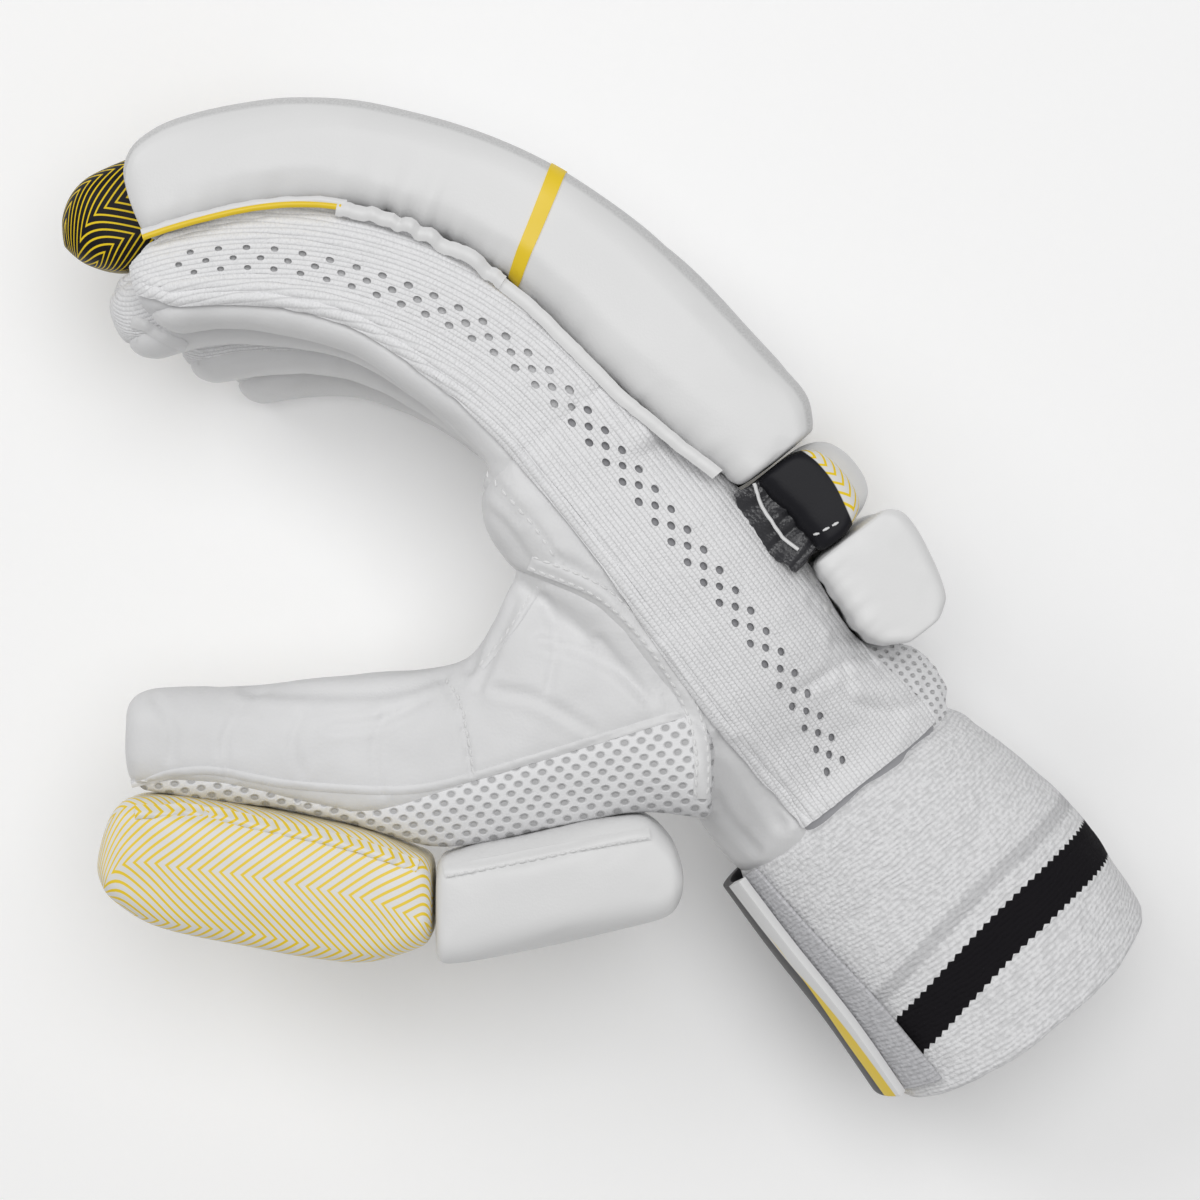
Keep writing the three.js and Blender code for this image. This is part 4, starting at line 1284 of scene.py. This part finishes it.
for finger in FINGERS:
    finger_roll(finger)
    if finger["capped"]:
        tip_cap(finger)


# Short pads over the knuckles and the back of the hand.
DARK_EDGE = [(790, 425), (796, 444), (818, 463), (835, 485), (849, 514), (858, 535)]


def darkened(obj):
    """Marks the part of a knuckle pad's upper side that is black leather."""
    points = points_of(obj)
    edge = curved(DARK_EDGE, z=95)[::-1]
    mark(obj, "dark", np.interp(points[:, 1], edge[:, 1], edge[:, 0]) - points[:, 0])


BLOCK_CORNER, INDEX_RAISED, CRISP_NOSE = 1.8, 2.8, 0.43


def back_pad(
    name, start, length, low, high, rows, depth, material, node, corner=BACK_PAD_CORNER, raised=0
):
    """A short pad over the back of the hand. A pad with small corners has crisp ends too."""

    def section(along):
        share = (along - start) / length
        hand_back = HAND_HALF_DEPTH * column(HAND, "back", along / HAND_LENGTH)
        return {
            "palm": hand_back + PAD_SEAT + raised,
            "back": BACK_PAD_SEAT + depth * column(rows, "top", share),
            "low": low,
            "high": high,
            "corner": corner,
        }

    nose = corner * CRISP_NOSE
    rings = profile(start, start + length, step=1.6, first_nose=nose, last_nose=nose)
    obj = tube(name, rings, 48, section, in_hand)
    inflate(obj, most=0.7)
    subdivide(obj)
    along, out = hand_place(points_of(obj))
    puckered(obj, out - HAND_HALF_DEPTH * column(HAND, "back", along / HAND_LENGTH), along)
    if material is KNUCKLE_LINED:
        darkened(obj)
    return finished(obj, material, [node])


KNUCKLE_START = ROLL_START - PAD_GAP - KNUCKLE_LENGTH
BLOCK_START = KNUCKLE_START - PAD_GAP - BLOCK_LENGTH
PADS_LOW = FLOOR_CLEARANCE + (FINGER_WIDTH - ROLL_WIDTH) / 2
BLOCK_PITCH = (BREADTH + 1 + FINGER_SPACE / 2) / 3
for finger in FINGERS:
    name, low = finger["name"], finger["centre"] - ROLL_WIDTH / 2
    depth = TALL_KNUCKLE_DEPTH if finger["capped"] else KNUCKLE_DEPTH
    material, slot = (WHITE_COVER, "pad_white") if finger["capped"] else (CREAM_LINED, "pad_lined")
    if finger is INDEX:
        material = KNUCKLE_LINED
    back_pad(
        f"{name}_knuckle_foam", KNUCKLE_START, KNUCKLE_LENGTH, low, low + ROLL_WIDTH,
        KNUCKLE, depth, material, f"{name}_knuckle_pad",
        raised=INDEX_RAISED if finger is INDEX else 0,
    )
for number, name in enumerate(("ulnar", "middle", "radial")):
    low = PADS_LOW + number * BLOCK_PITCH
    back_pad(
        f"{name}_hand_foam", BLOCK_START, BLOCK_LENGTH, low, low + BLOCK_PITCH - PAD_GAP,
        BLOCK, BLOCK_DEPTH, WHITE_COVER, f"back_block_{name}", BLOCK_CORNER,
    )


# Pads on the back of the thumb.
def thumb_pad(name, rows, start, length, depth, width, material, node):
    def section(along):
        share = (along - start) / length
        at = along / THUMB_LENGTH
        centre = THUMB_Z + THUMB_RISE * at
        seat = THUMB_HALF_DEPTH * column(THUMB, "back", at) - PAD_SEAT
        return {
            "palm": depth * column(rows, "outer", share),
            "back": seat - depth * column(rows, "inner", share),
            "low": centre - width / 2,
            "high": centre + width / 2,
            "corner": PAD_CORNER,
        }

    rings = profile(start, start + length, step=2, first_nose=3, last_nose=3)
    obj = tube(name, rings, 56, section, in_thumb)
    inflate(obj, most=1.0)
    subdivide(obj)
    return finished(obj, material, [node])


thumb_pad(
    "thumb_tip_foam", THUMB_TIP, start=67.5, length=84, depth=33, width=32,
    material=CREAM_LINED, node="thumb_tip_pad",
)
thumb_pad(
    "thumb_rear_foam", THUMB_REAR, start=4, length=62.5, depth=29, width=32,
    material=WHITE_COVER, node="thumb_rear_pad",
)

# The elastic cuff and its strap.
CUFF_GIRTH = 205


def cuff_section(grow):
    def section(along):
        at = np.clip((CUFF_START - along) / CUFF_LENGTH, 0, 1)
        return {
            "palm": CUFF_HALF_DEPTH * column(CUFF, "palm", at) - grow,
            "back": CUFF_HALF_DEPTH * column(CUFF, "back", at) + grow,
            "low": CUFF_Z - CUFF_HEIGHT / 2 - grow,
            "high": CUFF_Z + CUFF_HEIGHT / 2 + grow,
            "oval": CUFF_OVAL,
            "lean": CUFF_LEAN * at,
        }

    return section


def folded_tube(name, start, end, step, around, section, wall):
    """An open tube with a wall, whose two rims are rounded over."""
    outer = np.linspace(start, end, int(abs(end - start) / step) + 1)
    over = np.linspace(0, math.pi, 7)[1:-1]
    bulge = np.sign(end - start) * wall / 2 * np.sin(over)
    rim_in = wall / 2 * (1 - np.cos(over))
    along = np.concatenate([outer, end + bulge, outer[::-1], start - bulge, outer[:1]])
    drawn = np.concatenate([np.zeros(len(outer)), rim_in, np.full(len(outer), wall), rim_in[::-1], [0]])
    obj, at, row = grid(name, len(along) - 1, around)
    turn = row / around
    out, up, lean, _ = round_ring(ring_sizes(section, along, at), turn, drawn[at])
    set_points(obj, in_hand(along[at] - lean, out, up))
    set_map(obj, along[at], turn * CUFF_GIRTH)
    return mended(obj)


STRIPE = table("out at", (-36, -66.5), (-27.5, -64.8), (8, -57.8), (45, -55.6), (50, -55.4))
STRIPE_WIDTH, FAINT_AHEAD, FAINT_WIDTH = 11, 12.5, 4
STRIPE_CUT, CUFF_LAP = -31, 0.2


def elastic_cuff():
    obj = folded_tube(
        "knitted_cuff", CUFF_START + CUFF_LAP, CUFF_START - CUFF_LENGTH, step=2, around=120,
        section=cuff_section(0), wall=CUFF_WALL,
    )
    points = points_of(obj)
    ripple = waves(points, 16, 21) * 0.7 + waves(points, 5, 22) * 0.25
    along, out = hand_place(points)
    ripple -= 1.6 * np.exp(-(((along - CUFF_START) / 3.2) ** 2))
    set_points(obj, points + normals_of(obj) * ripple[:, None])
    subdivide(obj)
    points = points_of(obj)
    along, out = hand_place(points)
    middle = column(STRIPE, "at", out, "out")
    gap = np.abs(along - middle)
    stripe = STRIPE_WIDTH / 2 - gap
    mark(obj, "stripe", np.where(out < STRIPE_CUT, -5, stripe))
    mark(obj, "faint", FAINT_WIDTH / 2 - np.abs(along - middle - FAINT_AHEAD))
    return finished(obj, WHITE_TERRY, ["cuff"], angle=80)


elastic_cuff()

STRAP_WALL, STRAP_LIFT, STRAP_LENGTH, STRAP_INSET, STRAP_EDGE = 2.4, 0.5, 66, 2, 58.8
STRAP_COLUMNS, STRAP_LAST_TURN = 44, 0.72
PRINT_EDGE, PRINT_SLOPE, WEDGE_WIDTH = 6.5, 4.0, 4.5


def round_cuff(along, turn, grow):
    """Out, up and lean of points round the cuff."""
    return round_ring(cuff_section(grow)(along), turn)[:3]


def strap_first_turn(along):
    """Where round the cuff the strap's upper edge comes."""
    turns = np.linspace(0.26, 0.5, 200)
    grow = STRAP_LIFT + STRAP_WALL
    levels = np.array([round_cuff(place, turns, grow)[1] for place in along])
    return turns[np.argmax(levels < STRAP_EDGE, axis=1)]


def cuff_band(name, first_arc, flare, last_arc, rows, grow, wall, material, nodes=()):
    """A band round the palm side of the cuff, from one distance past the strap's edge to another."""
    obj, at, row = grid(name, STRAP_COLUMNS, rows)
    places = CUFF_START - STRAP_INSET - np.arange(STRAP_COLUMNS + 1) * STRAP_LENGTH / STRAP_COLUMNS
    along = places[at]
    share = at / STRAP_COLUMNS
    first = first_arc - flare * share
    arc = first + (last_arc - first) * row / rows
    turn = np.minimum(strap_first_turn(places)[at] + arc / CUFF_GIRTH, STRAP_LAST_TURN)
    out, up, lean = round_cuff(along, turn, grow)
    set_points(obj, in_hand(along - lean, out, up))
    set_map(obj, along, turn * CUFF_GIRTH)
    border = PRINT_EDGE - PRINT_SLOPE * share
    wedge_end = border + WEDGE_WIDTH * smoothstep(0.35, 0.8, share) - 0.6
    mark(obj, "field", arc - border)
    mark(obj, "wedge", np.minimum(arc - border + 1.0, wedge_end - arc))
    modify(obj, "SOLIDIFY", thickness=wall * MM, offset=-1)
    mended(obj, merged=False)
    modify(obj, "BEVEL", width=wall * 0.3 * MM, segments=2, limit_method="ANGLE")
    return finished(obj, material, nodes)


cuff_band(
    "closing_strap", first_arc=0, flare=0, last_arc=90, rows=60,
    grow=STRAP_LIFT + STRAP_WALL, wall=STRAP_WALL, material=PRINTED_CLOTH, nodes=["cuff_strap"],
)
cuff_band(
    "loop_cloth", first_arc=-4.0, flare=6.5, last_arc=2.0, rows=12,
    grow=1.0, wall=1.2, material=LOOP_CLOTH,
)

# Trims over the index roll's seam.
ROLL_SEAM_DOWN = 0.9
STRIP_ROWS = 6
FLANGE_END, BINDING_END = 145, 183


def bulged(row, thick):
    """How far a strip's middle stands above its edges."""
    return thick * 0.5 * (1 - (2 * row / STRIP_ROWS - 1) ** 2)


def side_strip(name, start, end, offset, width, level, thick, ruffle, material, nodes=()):
    """A strip laid along the roll's seam on the upper side."""
    columns = int((end - start) / 0.9)
    obj, at, row = grid(name, columns, STRIP_ROWS)
    along = start + at * (end - start) / columns
    across = (row / STRIP_ROWS - 0.5) * width
    wavy = waves(np.stack([along, 0 * along, 0 * along], axis=-1), 3.0, 31) * ruffle
    out = seam_at("back", along) - ROLL_SEAM_DOWN + offset + across + wavy * 0.8
    set_points(obj, in_hand(along, out, level + wavy + bulged(row, thick)))
    set_map(obj, along, across)
    modify(obj, "SOLIDIFY", thickness=thick * MM, offset=0)
    mended(obj, merged=False)
    return finished(obj, material, nodes)


side_strip(
    "roll_flange", ROLL_START + 6, FLANGE_END + 1, offset=-0.6, width=3.0, level=95.8,
    thick=0.9, ruffle=0.25, material=WHITE_COVER, nodes=["index_seam_flange"],
)
side_strip(
    "roll_binding", FLANGE_END, BINDING_END, offset=0, width=3.0, level=96.4,
    thick=1.3, ruffle=1.3, material=WHITE_COVER,
)
side_strip(
    "roll_piping", BINDING_END - 1, ROLL_END - 1, offset=0.6, width=1.1, level=96.8,
    thick=0.8, ruffle=0.08, material=YELLOW_COVER,
)
side_strip(
    "roll_edging", BINDING_END - 2, ROLL_END - 1, offset=1.6, width=1.4, level=96.6,
    thick=0.8, ruffle=0.3, material=WHITE_COVER,
)

# The yellow band round the index roll.
BAND_WIDTH, BAND_FOOT, BAND_SLOPE, BAND_WALL, BAND_LIFT = 2.9, 143.7, 0.12, 0.45, 0.3
BAND_COLUMNS, BAND_ROWS = 4, 90


def yellow_band():
    obj, at, row = grid("roll_band", BAND_COLUMNS, BAND_ROWS)
    turn = row / BAND_ROWS
    along = BAND_FOOT + (at / BAND_COLUMNS - 0.5) * BAND_WIDTH
    sizes = roll_section(INDEX, BAND_LIFT)(along)
    out, up, _, _ = round_ring(sizes, turn)
    rise = out - sizes["palm"]
    set_points(obj, in_hand(along + rise * BAND_SLOPE, out, up))
    set_map(obj, along, turn * 100)
    mended(obj)
    modify(
        obj, "SHRINKWRAP", target=bpy.data.objects["index_foam_roll"],
        wrap_method="NEAREST_SURFACEPOINT", wrap_mode="OUTSIDE_SURFACE", offset=BAND_LIFT * MM,
    )
    modify(obj, "SOLIDIFY", thickness=BAND_WALL * MM, offset=-1)
    return finished(obj, YELLOW_COVER)


yellow_band()


# Strips laid on the upper side, and stitches.
LOWEST_STITCH = 58
STITCH_LENGTH, STITCH_WIDTH, STITCH_LIFT = 2.1, 0.75, 0.15


def steady_levels(spots, tree):
    """Levels under a line of spots, evened out, with gaps filled from their neighbours."""
    levels, _ = height_at(spots, 0, tree)
    met = np.flatnonzero(levels > LOWEST_STITCH)
    levels = np.interp(np.arange(len(spots)), met, levels[met])
    padded = np.concatenate([[levels[0]] * 4, levels, [levels[-1]] * 4])
    return np.convolve(padded, np.full(9, 1 / 9), mode="valid")


def aside_of(ahead):
    """Steps of one millimetre to the left of those ahead."""
    return np.stack([-ahead[:, 1], ahead[:, 0]], axis=-1) / np.hypot(*ahead.T)[:, None]


def laid_strip(
    name, route, width, lift, thick, material, ruffle=0.0, size=3.0, tree=None, level=0
):
    """A strip along a route in plan, laid on the surface beneath or held at a level."""
    length = route_run(route)[-1]
    columns = int(length / 0.7)
    obj, at, row = grid(name, columns, STRIP_ROWS)
    reach = at / columns * length
    aside = aside_of(route_ahead(route, reach))
    across = (row / STRIP_ROWS - 0.5) * width
    spots = route_points(route, reach) + aside * across[:, None]
    if level:
        levels = np.full(len(spots), float(level))
    else:
        middle = route_points(route, np.arange(columns + 1) / columns * length)
        core = steady_levels(middle, tree)[at]
        levels, _ = height_at(spots, 0, tree)
        levels = np.clip(np.where(levels > 0, levels, core), core - 0.8, core + 0.5)
    bulge = bulged(row, thick)
    wavy = waves(np.stack([reach, across * 0.3, 0 * reach], axis=-1), size, 31) * ruffle
    spots = spots + aside * (wavy * 0.6)[:, None]
    set_points(obj, np.column_stack([spots, levels + lift + bulge + wavy]))
    set_map(obj, reach, across)
    modify(obj, "SOLIDIFY", thickness=thick * MM, offset=-1)
    return finished(obj, material, angle=60)


def stitch_bead():
    """One stitch as a plump bead along X, with few faces."""
    bpy.ops.object.select_all(action="DESELECT")
    bpy.ops.mesh.primitive_uv_sphere_add(segments=6, ring_count=4, radius=0.5 * MM)
    bead = bpy.context.object
    bpy.ops.object.mode_set(mode="EDIT")
    bpy.ops.transform.resize(value=(STITCH_LENGTH, STITCH_WIDTH, STITCH_WIDTH * 0.8))
    end_edit()
    return bead


def stitch_runs(name, runs, tree=None):
    """Stitches along routes in plan, each laid on the surface beneath."""
    bead = stitch_bead()
    shape = points_of(bead)
    faces = [tuple(p.vertices) for p in bead.data.polygons]
    bpy.data.objects.remove(bead)
    points, polygons = [], []
    for route, pitch in runs:
        places = np.arange(pitch / 2, route_run(route)[-1], pitch)
        spots = route_points(route, places)
        levels, normals = height_at(spots, 0, tree)
        for (x, y), step, level, normal in zip(spots, route_ahead(route, places), levels, normals):
            if level < LOWEST_STITCH:
                continue
            ahead = np.append(step, 0.0)
            ahead -= normal * (ahead @ normal)
            ahead /= np.linalg.norm(ahead)
            side = np.cross(normal, ahead)
            placed = shape @ np.stack([ahead, side, normal]) + [x, y, level] + normal * STITCH_LIFT
            base = sum(len(p) for p in points)
            points.append(placed)
            polygons.extend(tuple(base + k for k in face) for face in faces)
    mesh = bpy.data.meshes.new(name)
    mesh.from_pydata((np.concatenate(points) * MM).tolist(), [], polygons)
    obj = bpy.data.objects.new(name, mesh)
    bpy.context.scene.collection.objects.link(obj)
    return finished(obj, THREAD)


def beside(route, offset):
    """A route moved sideways."""
    return route + aside_of(np.gradient(route, axis=0)) * offset


def tree_named(name):
    return tree_of(bpy.data.objects[name])


THUMB_ROOT_ROUTE = curved([(530, 562), (600, 592), (650, 640), (688, 700), (702, 750), (702, 800)])
NET_EDGE_ROUTE = curved(
    [(125, 790), (200, 775), (290, 790), (400, 795), (470, 782), (560, 755), (690, 715)]
)
CROSS_ROUTE = curved([(440, 680), (456, 705), (464, 740), (470, 778)])
STITCH_PITCH, CROSS_PITCH, PALM_PITCH = 2.6, 2.4, 3.2
BAND_STITCH_ASIDE = 1.45
laid_strip("thumb_root_band", THUMB_ROOT_ROUTE, width=4.2, lift=0.35, thick=0.8, material=WHITE_LEATHER)
laid_strip(
    "net_edge_band", beside(NET_EDGE_ROUTE, 0.9), width=2.2, lift=0.2, thick=0.7,
    material=WHITE_LEATHER, ruffle=0.15,
)
laid_strip(
    "palm_inner_seam", curved([(538, 588), (508, 634), (480, 668)]), width=1.6, lift=0.15, thick=0.6,
    material=WHITE_LEATHER,
)
stitch_runs(
    "thumb_stitches",
    [
        (beside(NET_EDGE_ROUTE, 1.0), STITCH_PITCH),
        (beside(CROSS_ROUTE, 0.9), CROSS_PITCH),
        (curved([(532, 592), (504, 636), (480, 664)]), STITCH_PITCH),
    ],
)
stitch_runs(
    "band_stitches",
    [(beside(THUMB_ROOT_ROUTE, side * BAND_STITCH_ASIDE), STITCH_PITCH) for side in (1, -1)],
    tree_named("thumb_root_band"),
)
stitch_runs("palm_stitches", [(curved([(466, 450), (500, 488), (535, 528), (556, 560)]), PALM_PITCH)])

# The index knuckle's stitches, the gathered elastic beside it and its thread.
KNUCKLE_TOP = 95
KNUCKLE_STITCHES = [[(793, 449), (781, 459), (769, 470)], [(812, 536), (828, 528), (844, 519)]]
stitch_runs(
    "knuckle_stitches",
    [(curved(pixels, KNUCKLE_TOP), STITCH_PITCH) for pixels in KNUCKLE_STITCHES],
    tree_named("index_knuckle_foam"),
)
laid_strip(
    "knuckle_elastic", curved([(752, 484), (766, 508), (786, 536), (808, 556)]), width=11.0, lift=0,
    thick=1.2, material=BLACK_ELASTIC, ruffle=2.0, level=90.5,
)
laid_strip(
    "knuckle_thread", curved([(753, 484), (759, 502), (770, 522), (783, 538), (797, 550)]), width=0.9,
    lift=0, thick=0.9, material=THREAD, ruffle=0.5, level=94.5,
)
laid_strip(
    "fingertip_tab", curved([(120, 316), (134, 320), (152, 330), (174, 342)]), width=3.0, lift=0.8,
    thick=0.8, material=WHITE_LEATHER, ruffle=0.9, size=4.0,
)
laid_strip(
    "block_piping", curved([(808, 574), (818, 590), (830, 612), (845, 634)]), width=2.6, lift=1.3,
    thick=1.4, material=WHITE_COVER, ruffle=0.8,
)

# The tip pad's gathered edge and the rear pad's flap.
THUMB_PAD_TOP = 86
TIP_EDGE = [(136, 812), (200, 812), (280, 828), (350, 844), (418, 866)]
laid_strip(
    "tip_pad_edge", curved(TIP_EDGE, THUMB_PAD_TOP), width=3.4, lift=0.3, thick=1.0,
    material=CREAM_LINED, ruffle=0.9, size=3.4, tree=tree_named("thumb_tip_foam"),
)
FLAP_EDGE = [(444, 872), (520, 858), (600, 842), (650, 834)]
laid_strip(
    "rear_pad_flap", curved(FLAP_EDGE, THUMB_PAD_TOP), width=3.0, lift=0.4, thick=0.9,
    material=WHITE_COVER, ruffle=0.3, size=6.0, tree=tree_named("thumb_rear_foam"),
)
FLAP_STITCHES = [(446, 876), (520, 862), (600, 846), (648, 838)]
stitch_runs(
    "flap_stitches", [(curved(FLAP_STITCHES, THUMB_PAD_TOP), STITCH_PITCH)], tree_named("rear_pad_flap")
)

# Stage, light and camera.
WHITE = (1, 1, 1, 1)
FLOOR_GLOW, SURROUND = 0.08, 0.34
floor_material = new_material(
    "pale_floor", 0.9, Base_Color=(0.95, 0.95, 0.95, 1), Emission_Color=WHITE, Emission_Strength=FLOOR_GLOW
)[0]
bpy.ops.object.select_all(action="DESELECT")
bpy.ops.mesh.primitive_plane_add(size=6)
floor = bpy.context.object
floor.name = "floor"
floor.data.materials.append(floor_material)

world = bpy.data.worlds.new("studio")
world.use_nodes = True
background = world.node_tree.nodes["Background"].inputs
background["Color"].default_value = WHITE
background["Strength"].default_value = SURROUND
bpy.context.scene.world = world


LIT_PLACE = Vector((0, 0, 0.05))


def soft_light(name, place, size, power):
    bpy.ops.object.select_all(action="DESELECT")
    bpy.ops.object.light_add(type="AREA", location=place)
    light = bpy.context.object
    light.name = name
    light.data.shape = "DISK"
    light.data.size = size
    light.data.energy = power
    light.rotation_euler = (LIT_PLACE - Vector(place)).to_track_quat("-Z", "Y").to_euler()


soft_light("overhead", (0.1, 0.25, 1.5), size=1.1, power=10.5)
soft_light("upper_left", (-0.9, 0.7, 1.2), size=0.7, power=4.5)

camera_data = bpy.data.cameras.new("camera")
camera_data.lens, camera_data.sensor_width = LENS, SENSOR
camera = bpy.data.objects.new("camera", camera_data)
bpy.context.scene.collection.objects.link(camera)
camera.location = (CAMERA_X * MM, CAMERA_Y * MM, CAMERA_Z * MM)
bpy.context.scene.camera = camera
bpy.context.scene.view_settings.view_transform = "Standard"
